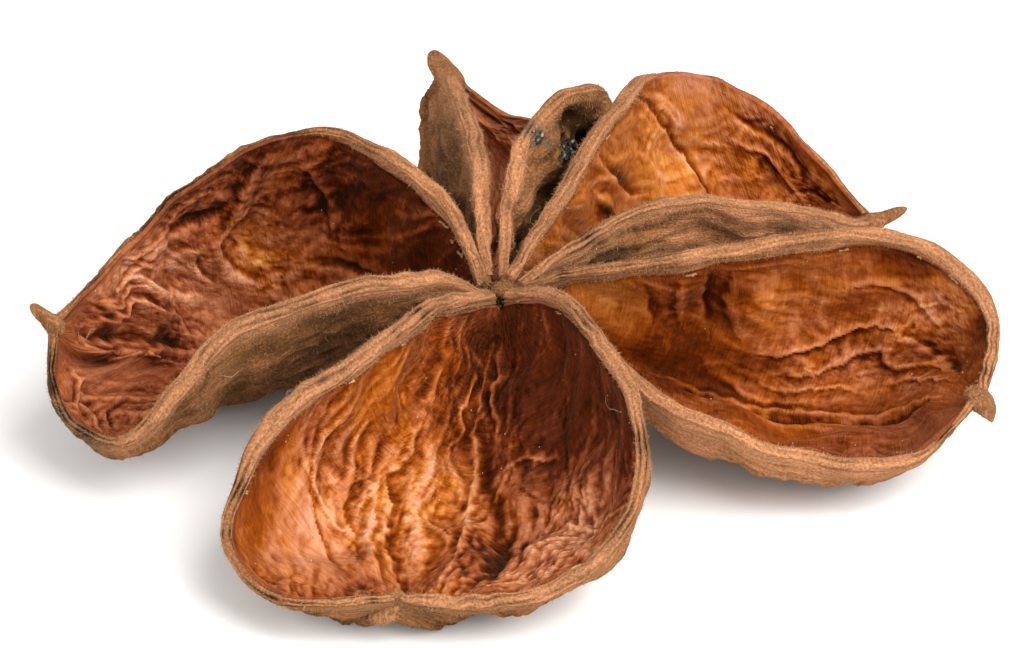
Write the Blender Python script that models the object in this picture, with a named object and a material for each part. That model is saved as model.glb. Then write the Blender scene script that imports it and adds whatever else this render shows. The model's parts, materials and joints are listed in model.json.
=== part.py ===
"""Land lotus pod: the dried, split fruit of a sterculia-like tree, as one solid.

Five boat-shaped follicles grew from one stalk. Each has split along its upper seam and
dried open, so it is a thick-walled scoop with two rims, a keel underneath and a beak at
its tip. Run with blender --background --python part.py, or from the text editor.

Places in the follicle guides are in millimetres from the point on the floor straight
under the middle of the whorl: +X to the right, +Y away from the front follicle, +Z up.
"""

from dataclasses import dataclass

import bmesh
import bpy
import numpy as np

MM = 0.001
WHORL_MIDDLE = (-2.3, 2.6)  # where that point lies in the part's own frame, whose origin is mid-box

WALL = 1.6  # thickness of the dried wall over most of a follicle
RIM_SWELL = 0.5  # how much thicker it is along a rim
RIM_REACH = 0.16  # share of the way down to the keel that the swelling takes
WALL_AT_ENDS = 0.6  # share of the thickness that is left at the stem and at the beak
RIM_LIP = 0.35  # how far the rounded edge of a rim stands past the wall's end
END_SHARE = 0.15  # share of a follicle's length over which the wall thins towards an end
STATIONS = 25  # cross-sections along a follicle
HALF_SPLIT = 8  # faces from the keel up to one rim
LINE_STEPS = 400  # steps that a guide line's length is measured in
RIM_APPROACH = 0.5  # share of a wall's height over which it straightens towards the rim

KEEL_RIB = 0.5  # height of the seam that runs along the outside of the keel
MIDRIB = 0.5  # height of the vein that runs along the inside of it
SEAM_SHARE = 0.1  # share of the way up to a rim that the seam and the vein take

FOLD_HEIGHT = 0.9  # the broad folds that drying drew into the wall
OUTER_FOLDS = 0.7  # share of that height that shows on the outside
FOLD_WAVES = 7  # waves that are summed for them
FOLD_LENGTHS = (7.0, 17.0)  # shortest and longest wave
FOLD_SWAY = 1.4  # how far a fold wanders sideways, in radians of its wave
FOLD_SWAY_LENGTH = 9.0  # millimetres of follicle for one radian of that wandering

FLOOR_BLOCK = (300.0, 20.0)  # width and depth of the block that trims the keels level with the floor

POD_COLOUR = (0.36, 0.17, 0.075, 1.0)
POD_ROUGHNESS = 0.8


@dataclass
class Wall:
    """How one wall of a follicle runs from the keel up to its rim."""

    belly: float  # how far out the foot of the wall goes, as a share of the rim's distance
    bulge: float  # millimetres that the upper wall stands out past the rim; less than 0 curls the rim out
    lift: float  # how steeply the wall leaves the keel: 0 is a round keel, 0.4 a sharp one


@dataclass
class Follicle:
    """Guide lines along the lining of a follicle, from the stem to the beak, and its two walls.

    Left and right are those of somebody who looks outwards from the stalk.
    """

    name: str
    left_rim: list
    right_rim: list
    keel: list
    left_wall: Wall
    right_wall: Wall
    beak: list
    beak_radii: tuple
    seed: int


FOLLICLES = [
    Follicle(
        "front",
        left_rim=[(0.7, -4, 22.2), (6, -8, 24.5), (11.5, -20, 26), (16, -31, 23.5), (17, -39, 18),
                  (13, -45.5, 12), (5, -50, 9), (-5, -50.7, 8), (-12, -49.6, 7.5)],
        right_rim=[(-0.7, -4, 22.2), (-7.5, -11.5, 25), (-15.5, -24, 26), (-26, -31, 21.5), (-32, -37, 14.5),
                   (-31.8, -45, 9.5), (-25.5, -50.3, 8), (-18, -50.5, 8), (-13, -49.8, 7.5)],
        keel=[(0, -4.3, 20), (-1.2, -7, 15.5), (-3, -13, 9.5), (-4.5, -19, 5), (-6, -26, 2.8), (-7, -35, 2.3),
              (-8.5, -43, 2.5), (-10.5, -48.5, 4.2), (-12.5, -49.8, 6.2)],
        left_wall=Wall(0.55, 1.0, 0.12),
        right_wall=Wall(0.55, 1.0, 0.12),
        beak=[(-12, -48, 6.5), (-13.2, -49.5, 6), (-14.6, -50, 5), (-16.3, -49.5, 4.2)],
        beak_radii=(1.8, 1.6, 1.2, 0.6),
        seed=3,
    ),
    Follicle(
        "left",
        left_rim=[(-2.8, -3.6, 22.7), (-9.5, -7, 27.5), (-19, -11, 28.5), (-30, -14, 26.5), (-40, -20, 21.5),
                  (-48.5, -22, 12.5), (-53.8, -18.5, 11.5), (-57, -14, 15), (-57.4, -11, 21)],
        right_rim=[(-2.5, -2.4, 22.9), (-8, 2, 33), (-14.5, 6, 36.5), (-23.5, 12, 37.3), (-33, 12, 34.5),
                   (-43, 6, 29.5), (-50, -1.8, 25.8), (-54.5, -7.5, 23.5), (-56.8, -10, 22.3)],
        keel=[(-2.6, -2.9, 20.3), (-6, -1, 14.5), (-12, 3, 9), (-24, 8, 2.8), (-34, 8.5, 1.7), (-42, 6.5, 3.7), (-47.5, 3, 7.5),
              (-53, -3, 12.5), (-56.8, -9.8, 19.8)],
        left_wall=Wall(0.45, 1.0, 0.38),
        right_wall=Wall(0.55, 0.5, 0.05),
        beak=[(-56.6, -10, 21), (-58, -10.5, 22.4), (-59.2, -10.5, 23.7), (-60.3, -10.3, 24.8)],
        beak_radii=(2.1, 1.4, 1.1, 0.7),
        seed=11,
    ),
    Follicle(
        "back_left",
        left_rim=[(-1.2, -0.3, 23), (-1.5, 4, 31), (-2, 11, 34.5), (-3.5, 20, 34.5), (-5, 30, 32.5),
                  (-6.5, 39, 30), (-7.3, 44.5, 28)],
        right_rim=[(0.2, -0.3, 23), (0.5, 3, 33), (3, 9, 39), (9, 16, 41.5), (13.5, 22, 38),
                   (12.5, 29, 30), (5.5, 37, 24.3), (-1, 42, 23.5), (-6, 45, 26.5)],
        keel=[(-0.5, -0.2, 20.3), (-1.2, 3, 14.5), (-2, 8, 9.5), (-3.5, 20, 4.5), (-4.5, 32, 6.5), (-5.5, 41, 14.5), (-7, 45, 25)],
        left_wall=Wall(0.55, 2.5, 0.2),
        right_wall=Wall(0.95, -2.5, 0.2),
        beak=[(-6.8, 43, 26.3), (-7.6, 45, 27.6), (-8.8, 46, 29.3), (-9.8, 46.2, 30.7)],
        beak_radii=(1.9, 1.7, 1.4, 0.9),
        seed=23,
    ),
    Follicle(
        "back_right",
        left_rim=[(1.7, -0.7, 22.8), (6, 5, 27), (12, 15, 32), (18.5, 29, 34), (26, 40.5, 29.5),
                  (33.5, 44.3, 25), (42, 41, 18), (47.8, 35.5, 13.5), (50.5, 32.6, 12.2)],
        right_rim=[(2.5, -1.5, 22.8), (9, 3, 25.5), (19.5, 12.5, 26), (28, 17.5, 24), (36.5, 20, 21.5),
                   (44, 23.5, 18), (49, 28, 14), (50.8, 31.4, 12)],
        keel=[(2, -1, 20.3), (5, 3.5, 14), (10, 9, 9), (22, 23, 3.2), (33, 30.5, 1.9), (44, 33.5, 5), (50, 32.3, 10.2)],
        left_wall=Wall(0.55, 1.0, 0.1),
        right_wall=Wall(0.55, -1.0, 0.2),
        beak=[(49.5, 31.5, 11), (52, 31.8, 11.5), (54.3, 32.3, 12.3), (56.3, 32.8, 13)],
        beak_radii=(1.6, 1.1, 0.9, 0.6),
        seed=31,
    ),
    Follicle(
        "right",
        left_rim=[(3, -2.8, 22.4), (9, -4.5, 25.5), (23, -5, 28), (38, -1.5, 28.5), (50.5, 2, 27),
                  (58.5, 0, 24), (63.2, -5.5, 20), (63, -11.5, 17), (61.8, -15, 15)],
        right_rim=[(3, -3.7, 22), (9.5, -8, 20.5), (15, -14.5, 19), (21.5, -20.5, 17.3), (31, -23.8, 13.7), (44, -23.7, 10.2),
                   (53, -21.8, 10), (58, -18.6, 12.5), (61.2, -16.2, 14.6)],
        keel=[(3, -3.2, 19.8), (6.5, -2.8, 15), (12, -2.3, 11), (18, -1.5, 8), (28, -1.5, 3.7), (40, -3.5, 1.8), (51, -6, 4),
              (57, -9.5, 8), (61.3, -14, 13)],
        left_wall=Wall(0.55, 1.0, 0.05),
        right_wall=Wall(0.5, 0.5, 0.42),
        beak=[(60.5, -14.6, 14.4), (61.9, -16, 13.8), (62.9, -17.2, 12.8), (63.4, -18.1, 11.8)],
        beak_radii=(1.8, 1.6, 1.1, 0.5),
        seed=47,
    ),
]

HUB_PROFILE = [(1.3, 22.0), (2.2, 21.0), (2.6, 18.0), (2.8, 14.5), (2.4, 11.0), (2.0, 8.0),
               (1.3, 7.2)]  # radius and height, from the top down to the broken stalk
HUB_SIDES = 14
HUB_CENTRE = (0.3, -2.0)

BEAK_SIDES = 8
BEAK_RINGS = 6


def smooth_line(points, count):
    """Points evenly spaced along a natural cubic spline through the guide points."""
    points = np.array(points, float)
    knots = np.concatenate([[0], np.cumsum(np.linalg.norm(np.diff(points, axis=0), axis=1))])
    gaps = np.diff(knots)
    n = len(points)
    system = np.eye(n)
    slopes = np.zeros_like(points)
    for i in range(1, n - 1):
        system[i, i - 1 : i + 2] = gaps[i - 1], 2 * (gaps[i - 1] + gaps[i]), gaps[i]
        slopes[i] = 6 * ((points[i + 1] - points[i]) / gaps[i] - (points[i] - points[i - 1]) / gaps[i - 1])
    bends = np.linalg.solve(system, slopes)

    def at(t):
        i = np.clip(np.searchsorted(knots, t, side="right") - 1, 0, n - 2)
        a = ((knots[i + 1] - t) / gaps[i])[:, None]
        b = ((t - knots[i]) / gaps[i])[:, None]
        curve = ((a**3 - a) * bends[i] + (b**3 - b) * bends[i + 1]) * (gaps[i] ** 2)[:, None] / 6
        return a * points[i] + b * points[i + 1] + curve

    fine = at(np.linspace(0, knots[-1], LINE_STEPS))
    run = np.concatenate([[0], np.cumsum(np.linalg.norm(np.diff(fine, axis=0), axis=1))])
    even = np.linspace(0, run[-1], count)
    return np.stack([np.interp(even, run, fine[:, k]) for k in range(3)], axis=1)


def unit(vectors):
    """The same directions with length 1."""
    return vectors / np.linalg.norm(vectors, axis=-1, keepdims=True)


def fold_waves(seed):
    """Directions, lengths and phases of the waves that make a wall's folds."""
    draw = np.random.default_rng(seed)
    heading = draw.uniform(0, np.pi, FOLD_WAVES)
    length = draw.uniform(*FOLD_LENGTHS, FOLD_WAVES)
    phase = draw.uniform(0, 2 * np.pi, FOLD_WAVES)
    return heading, length, phase


def folds(seed, along, across):
    """Height of the folds, from about -1 to 1, at places measured in millimetres on the wall."""
    total = np.zeros_like(along)
    for heading, length, phase in zip(*fold_waves(seed)):
        way = np.cos(heading) * along + np.sin(heading) * across
        total += np.sin(2 * np.pi * way / length + phase + FOLD_SWAY * np.sin(along / FOLD_SWAY_LENGTH + phase))
    return total / np.sqrt(FOLD_WAVES)


def half_section(keel, rim, out, up, wall, swell, turns):
    """Points from the keel to a rim: a cubic that leaves the keel sideways and reaches the rim upwards."""
    width = np.sum((rim - keel) * out, axis=1, keepdims=True)
    height = np.sum((rim - keel) * up, axis=1, keepdims=True)
    bulge = wall.bulge * swell
    first = keel + out * (wall.belly * width + bulge) + up * (wall.lift * height)
    second = rim + out * bulge - up * RIM_APPROACH * height
    t = turns[None, :, None]
    keel, first, second, rim = (p[:, None, :] for p in (keel, first, second, rim))
    return (1 - t) ** 3 * keel + 3 * (1 - t) ** 2 * t * first + 3 * (1 - t) * t**2 * second + t**3 * rim


def lining(follicle, stations, half_split):
    """A grid of points over the inside of a follicle, from the left rim down to the keel and up again."""
    left = smooth_line(follicle.left_rim, stations)
    right = smooth_line(follicle.right_rim, stations)
    keel = smooth_line(follicle.keel, stations)
    up = unit((left + right) / 2 - keel)
    out = left - right
    out = unit(out - up * np.sum(out * up, axis=1, keepdims=True))
    share = np.linspace(0, 1, stations)[:, None]
    swell = np.sqrt(np.sin(np.pi * np.clip(share, 0, 1)).clip(0))
    turns = np.linspace(0, 1, half_split + 1)
    left_half = half_section(keel, left, out, up, follicle.left_wall, swell, turns)
    right_half = half_section(keel, right, -out, up, follicle.right_wall, swell, turns)
    return np.concatenate([left_half[:, ::-1], right_half[:, 1:]], axis=1)


def normals_of(grid):
    """Normals of a lining's grid that point out of the follicle, through its wall."""
    along = np.gradient(grid, axis=0)
    across = np.gradient(grid, axis=1)
    return unit(np.cross(along, across))


def wall_places(grid):
    """How far each grid point lies along and across the wall, in millimetres."""
    along = np.linalg.norm(np.diff(grid, axis=0), axis=2)
    along = np.concatenate([np.zeros((1, grid.shape[1])), np.cumsum(along, axis=0)])
    across = np.linalg.norm(np.diff(grid, axis=1), axis=2)
    across = np.concatenate([np.zeros((grid.shape[0], 1)), np.cumsum(across, axis=1)], axis=1)
    return along, across - across[:, grid.shape[1] // 2 : grid.shape[1] // 2 + 1]


def follicle_walls(follicle, stations, half_split):
    """The inner and the outer grid of a follicle's wall."""
    inner = lining(follicle, stations, half_split)
    normal = normals_of(inner)
    along, across = wall_places(inner)
    share = np.linspace(0, 1, stations)[:, None]
    edge = np.abs(np.linspace(-1, 1, 2 * half_split + 1))[None, :]
    middle = np.clip(np.minimum(share, 1 - share) / END_SHARE, 0, 1)
    middle = middle * middle * (3 - 2 * middle)
    thick = WALL + RIM_SWELL * np.exp(-(((1 - edge) / RIM_REACH) ** 2))
    thick = thick * (WALL_AT_ENDS + (1 - WALL_AT_ENDS) * middle)
    soft = middle * (1 - edge**4)
    fold = folds(follicle.seed, along, across) * FOLD_HEIGHT * soft
    seam = np.exp(-((edge / SEAM_SHARE) ** 2)) * middle
    outer = inner + normal * (thick + OUTER_FOLDS * fold + KEEL_RIB * seam)[..., None]
    inner = inner + normal * (fold - MIDRIB * seam)[..., None]
    return inner, outer


def grid_faces(first, rows, columns, flipped):
    """Quads over a grid of points that starts at the given index."""
    faces = []
    for i in range(rows - 1):
        for j in range(columns - 1):
            a = first + i * columns + j
            quad = (a, a + 1, a + columns + 1, a + columns)
            faces.append(quad[::-1] if flipped else quad)
    return faces


def edge_loop(rows, columns):
    """Grid indices round a grid's border, once, in order."""
    top = [(0, j) for j in range(columns - 1)]
    far = [(i, columns - 1) for i in range(rows - 1)]
    bottom = [(rows - 1, j) for j in range(columns - 1, 0, -1)]
    near = [(i, 0) for i in range(rows - 1, 0, -1)]
    return top + far + bottom + near


def follicle_mesh(follicle):
    """One closed shell: outer wall, inner wall, and a rounded edge that joins their borders."""
    inner, outer = follicle_walls(follicle, STATIONS, HALF_SPLIT)
    rows, columns = outer.shape[:2]
    loop = edge_loop(rows, columns)
    tangent = unit(np.gradient(outer, axis=1))
    lip = []
    for i, j in loop:
        way = tangent[i, j] * (1 if j == columns - 1 else -1 if j == 0 else 0)
        lip.append((outer[i, j] + inner[i, j]) / 2 + way * RIM_LIP)
    points = np.concatenate([outer.reshape(-1, 3), inner.reshape(-1, 3), np.array(lip)])
    size = rows * columns
    faces = grid_faces(0, rows, columns, True) + grid_faces(size, rows, columns, False)
    for k in range(len(loop)):
        (i, j), (i2, j2) = loop[k], loop[(k + 1) % len(loop)]
        a, b = i * columns + j, i2 * columns + j2
        c, d = 2 * size + k, 2 * size + (k + 1) % len(loop)
        faces += [(a, b, d, c), (c, d, b + size, a + size)]
    return mesh_object(follicle.name, points, faces)


def mesh_object(name, points, faces):
    """An object from points in millimetres from the middle of the whorl, with its normals set outwards."""
    x, y = WHORL_MIDDLE
    points = (np.array(points, float) + (x, y, 0)) * MM
    mesh = bpy.data.meshes.new(name)
    mesh.from_pydata(points.tolist(), [], faces)
    shape = bmesh.new()
    shape.from_mesh(mesh)
    bmesh.ops.recalc_face_normals(shape, faces=shape.faces)
    bmesh.ops.triangulate(shape, faces=shape.faces)
    shape.to_mesh(mesh)
    shape.free()
    made = bpy.data.objects.new(name, mesh)
    bpy.context.scene.collection.objects.link(made)
    return made


def rings_mesh(name, rings):
    """A closed body through rings of points, with a point for each end."""
    sides = len(rings[0])
    points = np.concatenate([np.concatenate(rings), [np.mean(rings[0], axis=0), np.mean(rings[-1], axis=0)]])
    faces = []
    for k in range(len(rings) - 1):
        for j in range(sides):
            a, b = k * sides + j, k * sides + (j + 1) % sides
            faces.append((a, b, b + sides, a + sides))
    first, last = len(rings) * sides, len(rings) * sides + 1
    for j in range(sides):
        faces.append((first, (j + 1) % sides, j))
        start = (len(rings) - 1) * sides
        faces.append((last, start + j, start + (j + 1) % sides))
    return mesh_object(name, points, faces)


def circle(sides):
    """Cosines and sines of evenly spaced angles, each as a column."""
    angle = np.linspace(0, 2 * np.pi, sides, endpoint=False)
    return np.cos(angle)[:, None], np.sin(angle)[:, None]


def beak_mesh(follicle):
    """The pointed tip of a follicle: rings that shrink along its bent line."""
    line = smooth_line(follicle.beak, BEAK_RINGS)
    radii = np.array(follicle.beak_radii)
    radii = np.interp(np.linspace(0, 1, BEAK_RINGS), np.linspace(0, 1, len(radii)), radii)
    way = unit(np.gradient(line, axis=0))
    side = unit(np.cross(way, (0, 0, 1)))
    top = np.cross(side, way)
    cos, sin = circle(BEAK_SIDES)
    rings = [p + r * (cos * s + sin * t) for p, r, s, t in zip(line, radii, side, top, strict=True)]
    return rings_mesh(follicle.name + "_beak", rings)


def hub_mesh():
    """Where the follicles meet, and the broken stalk under it."""
    cos, sin = circle(HUB_SIDES)
    x, y = HUB_CENTRE
    rings = []
    for radius, height in HUB_PROFILE:
        rings.append(np.concatenate([x + radius * cos, y + radius * sin, np.full_like(cos, height)], axis=1))
    return rings_mesh("hub", rings)


def dried_pod_material():
    """Plain brown husk; a dull surface."""
    made = bpy.data.materials.new("dried_velvet_husk")
    made.use_nodes = True
    shader = made.node_tree.nodes["Principled BSDF"]
    shader.inputs["Base Color"].default_value = POD_COLOUR
    shader.inputs["Roughness"].default_value = POD_ROUGHNESS
    return made


def floor_cutter():
    """A block whose top is the floor that the pod stands on: it leaves small flats on the keels."""
    wide, deep = FLOOR_BLOCK
    bpy.ops.mesh.primitive_cube_add(size=1, location=(0, 0, -deep * MM / 2))
    block = bpy.context.object
    block.name = "floor_cutter"
    block.scale = (wide * MM, wide * MM, deep * MM)
    bpy.ops.object.transform_apply(location=True, rotation=False, scale=True)
    block.hide_render = True
    block.display_type = "WIRE"
    return block


def apply_boolean(target, operation, **what):
    """Adds a Boolean to the object and applies it."""
    step = target.modifiers.new(operation.lower(), "BOOLEAN")
    step.operation = operation
    step.solver = "EXACT"
    for key, value in what.items():
        setattr(step, key, value)
    bpy.context.view_layer.objects.active = target
    bpy.ops.object.modifier_apply(modifier=step.name)


def build_pod():
    """Joins the follicles, their beaks and the hub into one body and trims it level with the floor."""
    hub = hub_mesh()
    pieces = [follicle_mesh(f) for f in FOLLICLES] + [beak_mesh(f) for f in FOLLICLES]
    others = bpy.data.collections.new("pod_pieces")
    bpy.context.scene.collection.children.link(others)
    for piece in pieces:
        bpy.context.scene.collection.objects.unlink(piece)
        others.objects.link(piece)
    apply_boolean(hub, "UNION", operand_type="COLLECTION", collection=others, use_self=True)
    for piece in pieces:
        bpy.data.objects.remove(piece)
    bpy.data.collections.remove(others)
    floor = floor_cutter()
    apply_boolean(hub, "DIFFERENCE", object=floor)
    bpy.data.objects.remove(floor)
    hub.name = "pod"
    hub.data.name = "pod"
    hub.data.shade_smooth()
    hub.data.materials.append(dried_pod_material())
    return hub


def main():
    for old in list(bpy.data.objects):
        bpy.data.objects.remove(old)
    build_pod()


main()
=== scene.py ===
"""The looks of a land lotus pod: a whorl of five dried, split follicles.

Each follicle is lofted along the same guide lines as the solid, with a wrinkled silky lining
inside, velvety husk outside and a soft lip where the two meet. Places in the guides are in
millimetres from the floor point under the middle of the whorl: +X right, +Y away from the
front follicle, +Z up. Left and right are those of somebody who looks outwards from the stalk.
"""

import json
from dataclasses import dataclass, field
from math import radians

import bmesh
import bpy
import numpy as np
from bpy.props import FloatProperty, FloatVectorProperty, IntProperty, PointerProperty
from bpy.types import Operator, Panel, PropertyGroup
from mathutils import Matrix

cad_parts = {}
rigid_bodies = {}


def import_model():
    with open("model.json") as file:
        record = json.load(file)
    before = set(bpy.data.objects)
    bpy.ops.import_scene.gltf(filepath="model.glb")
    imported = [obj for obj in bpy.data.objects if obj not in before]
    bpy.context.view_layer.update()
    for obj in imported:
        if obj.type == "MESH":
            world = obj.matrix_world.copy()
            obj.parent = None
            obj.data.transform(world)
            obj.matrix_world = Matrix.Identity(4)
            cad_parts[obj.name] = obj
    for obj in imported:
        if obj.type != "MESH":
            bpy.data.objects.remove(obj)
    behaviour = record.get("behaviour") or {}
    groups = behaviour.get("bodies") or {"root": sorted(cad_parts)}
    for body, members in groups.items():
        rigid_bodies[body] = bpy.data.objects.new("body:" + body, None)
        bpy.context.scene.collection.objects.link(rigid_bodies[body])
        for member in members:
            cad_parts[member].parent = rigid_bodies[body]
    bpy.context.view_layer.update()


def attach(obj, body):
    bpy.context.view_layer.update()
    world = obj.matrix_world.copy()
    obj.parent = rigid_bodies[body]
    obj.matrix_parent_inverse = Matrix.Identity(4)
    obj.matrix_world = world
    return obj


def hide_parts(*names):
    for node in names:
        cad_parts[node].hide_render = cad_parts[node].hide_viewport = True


bl_info = {
    "name": "Land lotus pod",
    "version": (1, 0, 0),
    "blender": (4, 5, 0),
    "location": "3D View > Sidebar > Lotus pod",
    "description": "Builds a dried land lotus pod with silky linings and velvety husks",
    "category": "Add Mesh",
}

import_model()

MM = 0.001
WHORL_MIDDLE = (-2.3, 2.6)  # the middle of the whorl in the frame's own millimetres
BODY = "root"
NODE = "pod"

STATIONS = 240  # cross-sections along a follicle
HALF_SPLIT = 88  # faces of the lining from the keel up to one rim
HUSK_STEP = 2  # the husk has a point for every second one of the lining
LIP_SPLIT = 12  # faces round a rim, from the lining to the husk
LINE_STEPS = 400  # steps that a guide line's length is measured in
RIM_APPROACH = 0.5  # share of a wall's height over which it straightens towards the rim
RIM_REACH = 2.2  # millimetres below a rim over which the wall changes to the rim's thickness
WALL_AT_ENDS = 0.6  # share of the wall that is left at the stem and at the beak
END_SHARE = 0.15  # share of a follicle's length over which the wall thins towards an end
THINNEST = 0.45  # millimetres of wall that are left under the deepest wrinkle
GROOVE_SOFTNESS = 0.3  # millimetres over which a groove flattens before it comes through the husk
DENT_OUTSIDE = 0.4  # share of a dent that thins the husk; the rest bends the whole wall
KEEL_RIB = 0.5  # millimetres that the keel stands out of the husk
MIDRIB = 0.5  # millimetres that the keel's line stands up in the lining
SEAM_SHARE = 0.1  # half width of both, as a share of a wall
OUTER_FOLDS = 0.7  # share of the broad folds that shows in the husk
FOLD_WAVES = 7
FOLD_LENGTHS = (7.0, 17.0)  # millimetres, the shortest and the longest wave of the broad folds
FOLD_SWAY = 1.4
FOLD_SWAY_LENGTH = 9.0
RIM_WAVER = 0.5  # millimetres that a dried rim strays from its guide line
RIM_LENGTH = 65.0  # millimetres, about the length of a rim, for the noise along it
RIM_CALM = 8.0  # millimetres at a rim's ends over which it strays less
LIP_LENGTH = 60.0  # millimetres, the same for the strands of a lip
LIP_ROUND = 1.25  # the way round a lip for each millimetre between lining and husk
FLOOR_EASE = 1.0  # millimetres over the floor within which the husk flattens out on it
VEIN_WIDTH = 0.5  # millimetres; a raised fold narrower than this is a vein, with a painted highlight that makes it paler than the rest
LUMP_HEIGHT = 0.07  # millimetres of the husk's small lumps
CALM_EDGE = 2.5  # millimetres beside a lip in which the lining's wrinkles die out
BAND_EDGE = 0.35  # millimetres over which the felt of a rim ends on the lining
STRAND_WIDTH = 0.85  # millimetres from one strand of a rim to the next
STRAND_HEIGHT = 0.14  # millimetres
LIP_STRANDS = 0.17  # height of the strands round a lip, as a share of half its thickness
BEND = 0.7  # share of the lining's widest wrinkles that the husk follows
WIDE, MIDDLING, NARROW = 60, 14, 3  # rounds of blurring that leave out hollows of a width
STRAND_SHADE = 2.8  # how strongly painted shade darkens the grooves between a lip's strands
WORN_HAIR = 1.3  # how much of the velvet is gone where the husk is dark with stains or painted shade
LANES = 34.0  # a wall's height in lanes about a millimetre wide, which follow keel and rim alike
NOISE_TABLE = 4096


@dataclass
class Wall:
    """How one wall of a follicle runs from the keel up to its rim."""

    belly: float  # how far out the foot of the wall goes, as a share of the rim's distance
    bulge: float  # millimetres that the upper wall stands out past the rim
    lift: float  # how steeply the wall leaves the keel


@dataclass
class Fold:
    """One fold or groove of the lining, drawn through places on it.

    A place is a share of the length from the stem (0) to the beak (1) and a share of the wall
    from the left rim (-1) over the keel (0) to the right rim (1).
    """

    height: float  # millimetres; less than 0 is a groove
    width: float
    places: list
    lean: float = 0.0  # -1 to 1: how much steeper one side is than the other


@dataclass
class Patch:
    """A round part of the lining or of the husk whose colour differs from the rest: partly how it dried, partly
    painted shade in deep hollows and painted light.
    """

    share: float
    side: float
    radius: float  # millimetres
    tone: float  # -1 dark, 1 pale
    pink: float = 0.0  # in the lining, how much more pink (or, less than 0, amber); in the husk, grey
    crumple: float = 0.0  # in the lining, how much more (or less) crumpled; in the husk, millimetres of dent


@dataclass
class Follicle:
    """Guide lines along the lining of a follicle, its two walls, and how its lining dried and is coloured, with
    painted shade and painted light among its patches.
    """

    name: str
    left_rim: list
    right_rim: list
    keel: list
    left_wall: Wall
    right_wall: Wall
    left_edge: list  # share of the length, millimetres the husk comes over the lining, thickness
    right_edge: list
    beak: list
    beak_radii: tuple
    seed: int
    tone: float
    pink: float
    crumple: float
    patches: list = field(default_factory=list)
    folds: list = field(default_factory=list)
    stains_and_painted_light: list = field(default_factory=list)  # patches of the husk: its stains, mould and dents, painted shade under curled rims and painted light where it faces the floor


# The dark patches near the stem and deep in the cups are darker pigment and painted shade together; some pale
# ones are painted light.
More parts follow.
